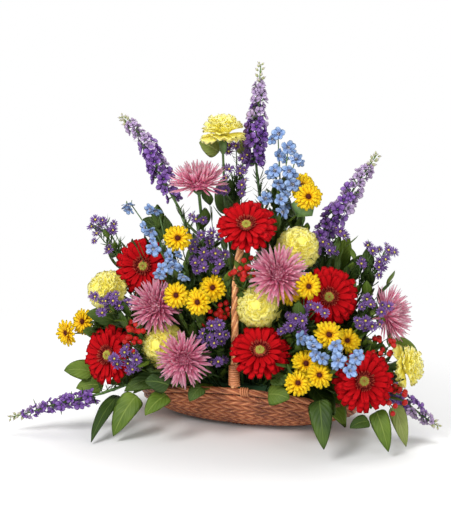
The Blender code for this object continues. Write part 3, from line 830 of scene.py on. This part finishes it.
greenery = {  # leaf, how many to a stem, how near to its top
    "asters": (fineLeaf, 230, 0.98), "daisies": (lobedLeaf, 20, 0.84), "delphinium": (fineLeaf, 80, 0.8),
    "hypericum": (ovalLeaf, 26, 0.97), "carnation": (bladeLeaf, 12, 0.74), "mum": (lobedLeaf, 24, 0.82),
    "larkspur": (fineLeaf, 150, 0.98), "leaves": (ovalLeaf, 16, 0.8), "gerbera": (lobedLeaf, 12, 0.7),
}


# The centre and direction of every bloom's front, by piece.
def findBlooms():
    found = {}
    for name in sorted(nodes):
        kind = name.split("_")[0]
        if kind in kinds:
            bm = weldedShape(name)
            found[name] = regularEnds(bm, *kinds[kind][:3])
            bm.free()
    return found


blooms = findBlooms()
faces = {  # radius of a bloom, and how far back its visible face goes
    "gerbera": (42, 5), "carnation": (29, 18), "mum": (40, 14), "daisies": (20, 5), "delphinium": (10, 4),
    "asters": (8, 4), "hypericum": (6, 6),
}
clearAhead = 0.045  # how far in front of a bloom no leaf may be


# Whether a leaf with this matrix would lie in front of a bloom or through it.
def coversBloom(matrix, length):
    for share in (0.15, 0.55, 1.0):
        place = matrix @ Vector((0, length * share, 0))
        for name, ends in blooms.items():
            radius, back = faces[name.split("_")[0]]
            for centre, direction in ends:
                step = place - centre
                ahead = step.dot(direction)
                if -back * mm < ahead < clearAhead and (step - direction * ahead).length < radius * mm:
                    return True
    return False


# Leaves that grow from random places on a stem, outwards and up.
def leavesAlong(stem, kind):
    if kind not in greenery:
        return []
    leafMesh, count, topShare = greenery[kind]
    highest = max(v.co.z for v in stem.vertices)
    low = 0.082 if highest > 0.13 else 0.045
    top = low + (highest - low) * topShare
    edges = [e for e in stem.edges if max(stem.vertices[i].co.z for i in e.vertices) > low]
    weights = [(stem.vertices[e.vertices[0]].co - stem.vertices[e.vertices[1]].co).length for e in edges]
    found = []
    for edge in rng.choices(edges, weights, k=count):
        a, b = (stem.vertices[i].co for i in edge.vertices)
        spot = a.lerp(b, rng.random())
        if not low < spot.z < top:
            continue
        away = Vector((rng.uniform(-1, 1), rng.uniform(-1, 1), rng.uniform(0.0, 1.1))).normalized()
        matrix = Matrix.Translation(spot) @ leafTurn(away) @ Matrix.Scale(rng.uniform(0.7, 1.15), 4)
        if not coversBloom(matrix, max(v.co.y for v in leafMesh.vertices)):
            found.append((leafMesh, matrix))
    return found


company = {  # more small blooms beside each one: how many, how far aside and behind in mm, their size
    "asters": (2, (8, 15), (1, 12), (0.7, 1.15)), "delphinium": (1, (6, 14), (3, 14), (0.5, 0.9)),
    "hypericum": (2, (8, 14), (1, 10), (0.9, 1.25)),
}
stalkRadius = 0.0006
# Blooms that look further round than their solids.
looksTowards = {"daisies_far_left": Vector((-0.25, -0.95, 0.2))}
loose = {"asters": 0.45, "delphinium": 0.55, "hypericum": 0.6, "daisies": 0.2}  # how unevenly they face


def jostled(direction, amount):
    return (direction + Vector([rng.uniform(-amount, amount) for _ in range(3)])).normalized()


# Smaller blooms round one bloom, each on a short stalk from behind it.
def besideBlooms(kind, centre, direction):
    if kind not in company:
        return []
    count, aside, behind, sizes = company[kind]
    found = []
    for _ in range(count):
        side = (Matrix.Rotation(rng.uniform(0, fullTurn), 3, direction) @ direction.orthogonal().normalized())
        place = centre + side * rng.uniform(*aside) * mm - direction * rng.uniform(*behind) * mm
        way = (jostled(direction, 0.5) + side * 0.4).normalized()
        anchor = centre - direction * 16 * mm
        found.append((heads[kind][0], aimed(place, way, rng.uniform(0, fullTurn), rng.uniform(*sizes))))
        stalk = tube([anchor, place - way * 6 * mm, place - way * 3 * mm], [stalkRadius] * 3, "stem", 5)
        found.append((stalk, still))
    return found


def bloomPiece(name):
    kind = name.split("_")[0]
    _, _, _, depth, reach, slotName = kinds[kind]
    bm = weldedShape(name)
    parts, doomed = [], set()
    for i, (centre, direction) in enumerate(blooms[name]):
        doomed.update(bloomVertices(bm, centre, direction, depth, reach))
        head = heads[kind][i % len(heads[kind])]
        way = jostled(looksTowards.get(name, direction), loose.get(kind, 0.0))
        parts.append((head, aimed(centre, way, rng.uniform(0, fullTurn), rng.uniform(0.96, 1.08))))
        parts += besideBlooms(kind, centre, direction)
    print(name, len(parts), "blooms and stalks")
    stem = bareStem(bm, doomed)
    parts += leavesAlong(stem, kind)
    parts.append((stem, still))
    return addPiece(name + "_bloom", merged(parts), name)


# A point on the smooth line through the points, t from 0 to 1.
def curvePoint(points, t):
    spot = min(t * (len(points) - 1), len(points) - 1.0001)
    i = int(spot)
    f = spot - i
    p0, p1 = points[max(i - 1, 0)], points[i]
    p2, p3 = points[i + 1], points[min(i + 2, len(points) - 1)]
    return 0.5 * (2 * p1 + (p2 - p0) * f + (2 * p0 - 5 * p1 + 4 * p2 - p3) * f * f
                  + (3 * p1 - p0 - 3 * p2 + p3) * f ** 3)


# The size of a spike's florets, and the share of pale ones.
spikeLooks = {"larkspur_low_left": (0.78, 0.35), "larkspur_low_right": (0.82, 0.7)}
spike = {"radii": [0.0022, 0.0021, 0.0019, 0.0016, 0.0013, 0.0009], "rootRadius": 0.0024, "root": 0.016,
         "floretGap": 0.0028, "reach": 0.0125, "budsFrom": 0.80, "leafEvery": 6, "leavesTo": 0.7}


def spikePiece(name):
    bm = weldedShape(name)
    ends = regularEnds(bm, 5, 1.4, 1.8)
    centre, direction = max(ends, key=lambda e: (e[0] - Vector((0, 0, 0.06))).length)
    rings = ringsBehind(bm, centre, direction, 5, 6)
    line = [middleOf(r) for r in rings][::-1]
    stem = bareStem(bm, {v for r in rings for v in r})
    parts = [(stem, still)] + leavesAlong(stem, "larkspur")
    start = line[0] - (line[1] - line[0]).normalized() * spike["root"]
    parts.append((tube([start] + line, [spike["rootRadius"]] + spike["radii"], "stem"), still))
    length = sum((b - a).length for a, b in zip(line, line[1:]))
    floretSize, paleShare = spikeLooks.get(name, (1.0, 1.0))
    count = int(length / spike["floretGap"])
    for k in range(count):
        t = (k + 0.5) / count
        here, ahead = curvePoint(line, t), curvePoint(line, min(t + 0.02, 1))
        along = (ahead - here).normalized() if (ahead - here).length > 1e-7 else direction
        side = along.orthogonal().normalized()
        out = Matrix.Rotation(k * golden + rng.uniform(-0.4, 0.4), 3, along) @ side
        aim = (out + along * (0.15 + 0.7 * t)).normalized()
        grown = (1.30 - 0.80 * max(0.0, (t - 0.30) / 0.70)) * rng.uniform(0.72, 1.15) * floretSize
        reach = spike["reach"] * grown * (0.70 + 0.30 * min(1, t * 7))
        spin = rng.uniform(0, fullTurn)
        pale = rng.random() < (t - 0.15) * 1.9 * paleShare
        if t > spike["budsFrom"]:
            parts.append((larkspurBud, aimed(here + aim * reach * 0.75, aim, spin, 0.7 + 2.4 * (1 - t))))
        else:
            head = (paleHeads if pale else larkspurHeads)[k % 2]
            parts.append((head, aimed(here + aim * reach, aim, spin, grown)))
        if k % spike["leafEvery"] == 0 and t < spike["leavesTo"]:
            turn = leafTurn((aim - along * 0.2).normalized())
            parts.append((fineLeaf, Matrix.Translation(here) @ turn))
    return addPiece(name + "_bloom", merged(parts), name)


blade = {"rows": 14, "columns": 8, "halfThick": 0.0003, "wave": 0.10, "least": 0.02}


# A leathery leaf over the CAD blade's rings, given from its base to its tip.
def leafMeshOf(rings, look, seed):
    line = [middleOf(r) for r in rings]
    widest = max(max((v.co - c).length for v in r) for r, c in zip(rings, line))
    side = (max(rings[2], key=lambda v: (v.co - line[2]).length).co - line[2]).normalized()
    length = (line[-1] - line[0]).length
    rows, columns = blade["rows"], blade["columns"]
    grid = []
    for i in range(rows + 1):
        t = i / rows
        here = curvePoint(line, t)
        along = (curvePoint(line, min(t + 0.02, 1)) - curvePoint(line, max(t - 0.02, 0))).normalized()
        across = (side - along * side.dot(along)).normalized()
        up = along.cross(across)
        up = up if up.z - up.y * 0.6 > 0 else -up
        outline = 3.15 * t ** 0.62 * (1 - t) ** 1.15  # widest a third of the way up
        half = widest * max(outline, blade["least"])
        row = []
        for j in range(columns + 1):
            s = j / columns * 2 - 1
            bend = noise.noise(Vector((t * 4 + seed, s * 1.5, seed * 0.7)))
            wave = bend * blade["wave"] * length * abs(s)
            fold = abs(s) * half * 0.22 - s * s * half * 0.18
            row.append((here + across * s * half + up * (fold + wave * 0.5), up))
        grid.append(row)
    return closedSheet(grid, look, blade["halfThick"])


branchShades = {"leaves_top": ["leafOlive", "leafDeep", "leafDeep", "leafDeep"],
                "leaves_far_right": ["leafFresh", "leafOlive", "leafDeep", "leafFresh"],
                "leaves_left": ["leafDeep", "leafDeep", "leafFresh", "leafDeep"],
                "others": ["leafDeep", "leafFresh", "leafDeep", "leafFresh"], "oliveAbove": 0.42}


def branchPiece(name):
    bm = weldedShape(name)
    parts, doomed = [], set()
    shades = branchShades.get(name, branchShades["others"])
    for i, (centre, direction) in enumerate(leafTips(bm)):
        rings = ringsBehind(bm, centre, direction, 5, 5)
        if len(rings) < 5:
            print(name, "leaf with", len(rings), "rings")
            continue
        doomed.update(v for r in rings for v in r)
        look = "leafOlive" if centre.z > branchShades["oliveAbove"] else shades[i % 4]
        parts.append((leafMeshOf(rings[::-1], look, i + len(name)), still))
    print(name, len(parts), "leaves")
    stem = bareStem(bm, doomed)
    parts += leavesAlong(stem, "leaves")
    parts.append((stem, still))
    return addPiece(name + "_leaves", merged(parts), name)


filling = {"sprigs": 270, "backSprigs": 100, "leaves": 5, "reach": (0.70, 0.92), "leafSize": (0.5, 0.95),
           "radii": [0.0010, 0.0009, 0.0006], "rise": 0.006, "inFoam": 0.008}
back = {"halfWidth": 0.185, "front": 0.030, "depth": 0.085, "low": 0.085, "height": 0.25}
denseLeaves = [
    petal("leafDeep", 42, 12, root=0.15, tip=0.10, belly=0.48, dish=0.12, curl=0.2, ruffle=1.4, waves=3),
    petal("leafDeep", 34, 7, root=0.2, tip=0.08, belly=0.42, dish=0.2, curl=0.1),
    petal("leafFresh", 36, 10, root=0.2, tip=0.06, belly=0.45, dish=0.15, curl=0.15)]
skirt = {"leaves": 46, "half": (0.142, 0.074), "lift": (0.002, 0.014), "bareFrom": -0.045, "bareTo": 0.105,
         "hangBeyond": 0.085, "hang": (-0.75, 0.15), "stand": (-0.05, 0.5), "size": (0.85, 1.15),
         "largeBeyond": 0.10, "large": 1.35}
skirtShape = {"root": 0.2, "tip": 0.05, "belly": 0.45, "dish": 0.14, "ruffle": 0.8, "rows": 8, "columns": 6}
skirtLeaves = [petal("leafFresh", 52, 15, curl=-0.12, **skirtShape),
               petal("leafDeep", 56, 15, curl=-0.16, **skirtShape)]


# A thin stem from the foam towards a target, with leaves on its outer half.
def sprig(start, target, reach):
    way = target - start
    points = [start, start + way * 0.5 * reach + Vector((0, 0, filling["rise"])), start + way * reach]
    found = [(tube(points, filling["radii"], "foliage", 5), still)]
    for k in range(filling["leaves"]):
        spot = curvePoint(points, 0.45 + 0.55 * k / (filling["leaves"] - 1))
        turn = leafTurn(jostled(way.normalized(), 0.9))
        size = Matrix.Scale(rng.uniform(*filling["leafSize"]), 4)
        matrix = Matrix.Translation(spot) @ turn @ size
        leafMesh = denseLeaves[rng.choice((0, 0, 1, 1, 2))]
        if not coversBloom(matrix, 0.036):
            found.append((leafMesh, matrix))
    return found


# Leafy sprigs that fill the room between the flowers and the back, and leaves that lie over the rim.
def innerFoliage():
    low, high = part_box("floral_foam")

    def start(target):
        x = max(low.x, min(high.x, target.x * 0.45))
        y = max(low.y, min(high.y, target.y * 0.4))
        return Vector((x, y, high.z)) - Vector((0, 0, filling["inFoam"]))

    parts = []
    spots = [centre for ends in blooms.values() for centre, _ in ends]
    for _ in range(filling["sprigs"]):
        first = rng.choice(spots)
        near = sorted(spots, key=lambda p: (p - first).length)[1:10]
        target = first.lerp(rng.choice(near), rng.random())
        parts += sprig(start(target), target, rng.uniform(*filling["reach"]))
    addPiece("inner_foliage", merged(parts), None)
    parts = []
    for _ in range(filling["backSprigs"]):
        angle, height = rng.uniform(0.12, math.pi - 0.12), rng.random()
        x = back["halfWidth"] * math.cos(angle) * (1 - 0.35 * height)
        y = back["front"] + back["depth"] * math.sin(angle) * (1 - 0.5 * height)
        target = Vector((x, y, back["low"] + back["height"] * height * (0.40 + 0.60 * math.sin(angle))))
        parts += sprig(start(target), target, 1.0)
    for k in range(skirt["leaves"]):
        angle = fullTurn * (k + rng.uniform(-0.3, 0.3)) / skirt["leaves"]
        halfX, halfY = skirt["half"]
        lift = rng.uniform(*skirt["lift"])
        place = Vector((halfX * math.cos(angle), halfY * math.sin(angle), high.z + lift))
        if place.y < 0 and skirt["bareFrom"] < place.x < skirt["bareTo"]:
            continue
        rise = rng.uniform(*(skirt["hang"] if abs(place.x) > skirt["hangBeyond"] else skirt["stand"]))
        turn = leafTurn(Vector((math.cos(angle), math.sin(angle) * 1.2, rise)).normalized())
        size = rng.uniform(*skirt["size"]) * (skirt["large"] if abs(place.x) > skirt["largeBeyond"] else 1.0)
        matrix = Matrix.Translation(place) @ turn @ Matrix.Scale(size, 4)
        if not coversBloom(matrix, 0.052):
            parts.append((skirtLeaves[k % 2], matrix))
    addPiece("back_foliage", merged(parts), None)


def pathMesh(points, closed):
    edges = [(i, i + 1) for i in range(len(points) - 1)]
    if closed:
        edges.append((len(points) - 1, 0))
    mesh = bpy.data.meshes.new("path")
    mesh.from_pydata(points, edges, [])
    return mesh


# Rods twisted about a path; the twist's radius and the rod's are in millimetres.
def rope(points, closed, strands, turns, twistRadius, rodRadius, material, phase=0.0, step=0.004):
    values = {"Strands": strands, "Turns": float(turns), "Twist Radius": twistRadius * mm,
              "Rod Radius": rodRadius * mm, "Step Length": step, "Phase": phase, "Material": material}
    return evaluated(pathMesh(points, closed), ropeTree, values)


# One mesh from (meshes, material) groups.
def joined(groups):
    bm = bmesh.new()
    indices = []
    for i, (meshes, _) in enumerate(groups):
        for mesh in meshes:
            bm.from_mesh(mesh)
            indices += [i] * len(mesh.polygons)
    whole = bpy.data.meshes.new("joined")
    bm.to_mesh(whole)
    bm.free()
    whole.materials.clear()
    for _, material in groups:
        whole.materials.append(material)
    whole.polygons.foreach_set("material_index", indices)
    return whole


def roundTheMiddle(points, half):
    return sorted(points, key=lambda p: math.atan2(p.y / half.y, p.x / half.x))


def inwards(point, depth, rise=0.0):
    return Vector((-point.x, -point.y, 0)).normalized() * depth + Vector((0, 0, rise))


# The tray's outer rings, from the edge of its floor to its rim.
def trayRings():
    bm = weldedShape("basket_tray")
    lowest = min(v.co.z for v in bm.verts)
    floor = [v for v in bm.verts if v.co.z < lowest + 1e-5]
    rings, seen = [floor], set(floor)
    while len(rings) < 3:
        rings.append(nextRing(rings[-1], seen))
    low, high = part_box("basket_tray")
    half = (high - low) / 2
    found = [roundTheMiddle([v.co.copy() for v in ring], half) for ring in rings]
    bm.free()
    return found


weave = {"rows": 8, "turns": 16, "twist": 3.0, "strands": 3, "rod": 2.0, "paleRod": 1.75, "stagger": 0.37,
         "depth": 0.0028, "rise": 0.0012}
bottom = {"rings": 10, "turns": 24, "twist": 1.5, "rod": 1.6, "rise": 0.0022}
stake = {"rod": 1.9, "depth": 0.0030, "rise": 0.0012}


def buildBasket():
    floor, wall, rim = trayRings()
    count = weave["rows"]
    rows, paleRows = [], []
    for i in range(count):
        t = (i + 0.4) / count
        ring = []
        for a, b, c in zip(floor, wall, rim):
            place = a * (1 - t) * (1 - 2 * t) + b * 4 * t * (1 - t) + c * t * (2 * t - 1)
            ring.append(place + inwards(place, weave["depth"]) + Vector((0, 0, weave["rise"])))
        turns = weave["turns"] * (1 if i % 2 else -1)
        for phase, radius, found in ((0.0, weave["rod"], rows), (1 / 6, weave["paleRod"], paleRows)):
            found.append(rope(ring, True, weave["strands"], turns, weave["twist"], radius, willow,
                              phase + i * weave["stagger"]))
    base = []
    for i in range(bottom["rings"]):
        share = 1 - i / bottom["rings"]
        ring = [Vector((p.x * share, p.y * share, floor[0].z + bottom["rise"])) for p in floor]
        turns = bottom["turns"] * (1 if i % 2 else -1) * share
        base.append(rope(ring, True, 2, turns, bottom["twist"], bottom["rod"], willow, step=0.006))
    stakes = []
    for corners in zip(floor, wall, rim):
        line = [curvePoint(corners, t / 8) for t in range(9)]
        line = [p + inwards(p, stake["depth"]) + Vector((0, 0, stake["rise"])) for p in line]
        stakes.append(rope(line, False, 1, 0, 0, stake["rod"], willow, step=0.008))
    # the skin behind the rods, painted near black as the shade between them
    shadeSkinMesh = trayShadeSkin(floor, wall, rim)
    tray = joined([(rows + base + stakes, willow), (paleRows, paleWillow), ([shadeSkinMesh], shade)])
    addPiece("woven_tray", tray, "basket_tray")
    buildBorder()
    buildFoot()


shadeSkin = {"depths": (0.0024, 0.0034), "rise": 0.6}


# A thin skin inside the weave, so that no light shows between its rods; its near-black colour is painted
# shade in the gaps between them.
def trayShadeSkin(floor, wall, rim):
    bm = bmesh.new()
    skins = []
    for depth in shadeSkin["depths"]:
        rings = []
        for ring in (floor, wall, rim):
            rings.append([bm.verts.new(p + inwards(p, depth, depth * shadeSkin["rise"])) for p in ring])
        skins.append(rings)
    outer, inner = skins
    count = len(floor)
    for k in range(count):
        n = (k + 1) % count
        for rings in skins:
            for low, high in zip(rings, rings[1:]):
                bm.faces.new((low[k], low[n], high[n], high[k]))
        bm.faces.new((outer[2][k], outer[2][n], inner[2][n], inner[2][k]))
    bm.faces.new(outer[0])
    bm.faces.new(inner[0][::-1])
    bmesh.ops.recalc_face_normals(bm, faces=bm.faces)
    mesh = bpy.data.meshes.new("shadeSkin")
    bm.to_mesh(mesh)
    bm.free()
    return mesh


border = {"strands": 3, "turns": 11, "twist": 3.3, "rod": 2.2, "paleTwist": 3.4, "paleRod": 2.0, "core": 2.4,
          "places": 36}
tie = {"turns": 4, "sides": 12, "from": 0.010, "length": 0.014, "radius": 0.0062, "rod": 1.5}


def buildBorder():
    low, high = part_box("basket_border")
    half = (high - low) / 2
    groups = {}
    bm = weldedShape("basket_border")
    for vertex in bm.verts:
        angle = math.atan2(vertex.co.y / half.y, vertex.co.x / half.x)
        place = round(angle / fullTurn * border["places"]) % border["places"]
        groups.setdefault(place, []).append(vertex.co.copy())
    bm.free()
    centres = [sum(groups[k], Vector()) / len(groups[k]) for k in sorted(groups)]
    line = roundTheMiddle(centres, half)
    strands, turns = border["strands"], border["turns"]
    thick = rope(line, True, strands, turns, border["twist"], border["rod"], willow)
    pale = rope(line, True, strands, turns, border["paleTwist"], border["paleRod"], paleWillow, 1 / 6)
    core = rope(line, True, 1, 0, 0.0, border["core"], willow)
    ties = []
    for side in (-1, 1):  # rods lashed over the border beside each foot of the handle
        near = min(line, key=lambda p: abs(p.x) + (0 if p.y * side > 0 else 1))
        coil = []
        steps = tie["turns"] * tie["sides"]
        for k in range(steps + 1):
            angle = fullTurn * k / tie["sides"]
            across = tie["from"] + tie["length"] * k / steps
            coil.append(Vector((near.x + across, near.y + tie["radius"] * math.cos(angle),
                                near.z + tie["radius"] * math.sin(angle))))
        ties.append(rope(coil, False, 1, 0, 0, tie["rod"], paleWillow, step=0.003))
    braid = joined([([thick, core], willow), ([pale] + ties, paleWillow)])
    addPiece("braided_border", braid, "basket_border")


foot = {"rings": 13, "turns": 20, "twist": 1.45, "rod": 1.6, "inset": 0.003, "rise": 0.0031, "corners": 40,
        "upperRise": 0.0042, "upperTwist": 1.3, "upperRod": 1.5}


def buildFoot():
    low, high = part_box("basket_foot")
    half = (high - low) / 2
    rods = []
    for i in range(foot["rings"]):
        share = 1 - i / foot["rings"]
        size = Vector((half.x - foot["inset"], half.y - foot["inset"])) * share
        ring = []
        for k in range(foot["corners"]):
            angle = fullTurn * k / foot["corners"]
            ring.append(Vector((size.x * math.cos(angle), size.y * math.sin(angle), low.z + foot["rise"])))
        turns = round(foot["turns"] * (1 if i % 2 else -1) * share)
        rods.append(rope(ring, True, 2, turns, foot["twist"], foot["rod"], willow, step=0.005))
        if i == 0:
            upper = [p + Vector((0, 0, foot["upperRise"])) for p in ring]
            twist, rod = foot["upperTwist"], foot["upperRod"]
            rods.append(rope(upper, True, 2, foot["turns"], twist, rod, willow, step=0.005))
    addPiece("woven_foot", joined([(rods, willow)]), "basket_foot")


handle = {"strands": 3, "turns": 9, "twist": 3.6, "rod": 2.6, "paleRod": 2.2, "core": 2.6, "steps": 90}
wrap = {"turns": 9, "sides": 14, "radius": 0.0078, "taper": 0.0006, "rod": 1.9, "inset": 0.002}


def handleLine():
    bm = weldedShape("handle_bow")
    ends = regularEnds(bm, 8, 5, 8)
    centre, direction = min(ends, key=lambda e: e[0].y)
    rings = ringsBehind(bm, centre, direction, 8, 40)
    return [middleOf(r) for r in rings]


def buildHandle():
    line = handleLine()
    smooth = [curvePoint(line, t / handle["steps"]) for t in range(handle["steps"] + 1)]
    strands, turns, twist = handle["strands"], handle["turns"], handle["twist"]
    bright = rope(smooth, False, strands, turns, twist, handle["rod"], cane, step=0.005)
    dark = rope(smooth, False, strands, turns, twist, handle["paleRod"], paleWillow, 1 / 6, 0.005)
    core = rope(smooth, False, 1, 0, 0.0, handle["core"], cane, step=0.008)
    addPiece("twisted_handle", joined([([bright, core], cane), ([dark], paleWillow)]), "handle_bow")
    for name in ("handle_wrap_front", "handle_wrap_back"):
        low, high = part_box(name)
        middle = (low + high) / 2
        coil = []
        steps = wrap["turns"] * wrap["sides"]
        for k in range(steps + 1):
            angle = fullTurn * k / wrap["sides"]
            share = k / steps
            radius = wrap["radius"] - wrap["taper"] * share
            height = low.z + wrap["inset"] + (high.z - low.z - 2 * wrap["inset"]) * share
            x, y = middle.x + radius * math.cos(angle), middle.y + radius * math.sin(angle)
            coil.append(Vector((x, y, height)))
        winding = rope(coil, False, 1, 0, 0, wrap["rod"], cane, step=0.003)
        addPiece(name + "_winding", joined([([winding], paleWillow)]), name)


def buildInside():
    foamLook = surface("foam_cells", stemPaint((0.045, 0.12, 0.05), (0.085, 0.19, 0.08)), 0.95)
    linerLook = surface("liner_plastic", stemPaint((0.012, 0.022, 0.012), (0.03, 0.045, 0.025)), 0.35)
    for name, look in (("floral_foam", foamLook), ("liner_tray", linerLook)):
        nodes[name].data.materials.clear()
        nodes[name].data.materials.append(look)


buildBasket()
buildHandle()
buildInside()
print("basket made")
for name in sorted(nodes):
    kind = name.split("_")[0]
    if kind in kinds:
        bloomPiece(name)
    elif kind == "larkspur":
        spikePiece(name)
    elif kind == "leaves":
        branchPiece(name)
innerFoliage()
print("plants made")

studio = {"floorHalf": 6.0, "paper": (0.88, 0.88, 0.88, 1), "fade": (0.30, 0.85), "aim": (0, -0.03, 0.22),
          "lights": [("key", (-1.0, -1.7, 1.9), 1.1, 42),  # name, place, size, power
                     ("fill", (1.7, -1.5, 0.9), 1.6, 16),
                     ("top", (0.2, 0.9, 1.9), 1.2, 22)],
          "world": 0.55, "worldSeen": 0.45}


def buildFloor():
    floor = bpy.data.meshes.new("floor")
    span = studio["floorHalf"]
    corners = [(-span, -span, 0), (span, -span, 0), (span, span, 0), (-span, span, 0)]
    floor.from_pydata(corners, [], [(0, 1, 2, 3)])
    obj = bpy.data.objects.new("floor", floor)
    bpy.context.scene.collection.objects.link(obj)
    look = bpy.data.materials.new("floor_paper")
    look.use_nodes = True
    tree = look.node_tree
    graph = Graph(tree)
    shader = tree.nodes["Principled BSDF"]
    shader.inputs["Base Color"].default_value = studio["paper"]
    shader.inputs["Roughness"].default_value = 0.9
    shader.inputs["Specular IOR Level"].default_value = 0.1
    white = graph.add("ShaderNodeEmission", {}, {"Color": (1, 1, 1), "Strength": 1.0})
    far = graph.add("ShaderNodeVectorMath", {"operation": "LENGTH"}, {0: graph.place()}, "Value")
    mixed = tree.nodes.new("ShaderNodeMixShader")
    graph.link(far.ramp(*studio["fade"]), mixed.inputs[0])
    tree.links.new(shader.outputs[0], mixed.inputs[1])
    tree.links.new(white.socket, mixed.inputs[2])
    tree.links.new(mixed.outputs[0], tree.nodes["Material Output"].inputs["Surface"])
    floor.materials.append(look)


def areaLight(name, place, size, power):
    light = bpy.data.lights.new(name, "AREA")
    light.shape = "DISK"
    light.size = size
    light.energy = power
    obj = bpy.data.objects.new(name, light)
    obj.location = place
    obj.rotation_euler = (Vector(place) - Vector(studio["aim"])).to_track_quat("Z", "Y").to_euler()
    bpy.context.scene.collection.objects.link(obj)


def buildLights():
    for settings in studio["lights"]:
        areaLight(*settings)
    world = bpy.data.worlds.new("studio")
    bpy.context.scene.world = world
    world.use_nodes = True
    tree = world.node_tree
    sky = tree.nodes["Background"]
    sky.inputs["Color"].default_value = (1, 1, 1, 1)
    graph = Graph(tree)
    rays = tree.nodes.new("ShaderNodeLightPath")
    seen = Signal(graph, rays.outputs["Is Camera Ray"]) + Signal(graph, rays.outputs["Is Transmission Ray"])
    graph.link(seen * studio["worldSeen"] + studio["world"], sky.inputs["Strength"])


view = {"place": (0.4535, -1.8421, 0.687), "target": (-0.0521, 0.0447, 0.2575), "lens": 84.9, "sensor": 36}


def buildCamera():
    camera = bpy.data.cameras.new("camera")
    camera.lens = view["lens"]
    camera.sensor_width = view["sensor"]
    obj = bpy.data.objects.new("camera", camera)
    obj.location = view["place"]
    obj.rotation_euler = (obj.location - Vector(view["target"])).to_track_quat("Z", "Y").to_euler()
    bpy.context.scene.collection.objects.link(obj)
    bpy.context.scene.camera = obj
    bpy.context.scene.view_settings.view_transform = "Standard"


buildFloor()
buildLights()
buildCamera()


print("stage made")
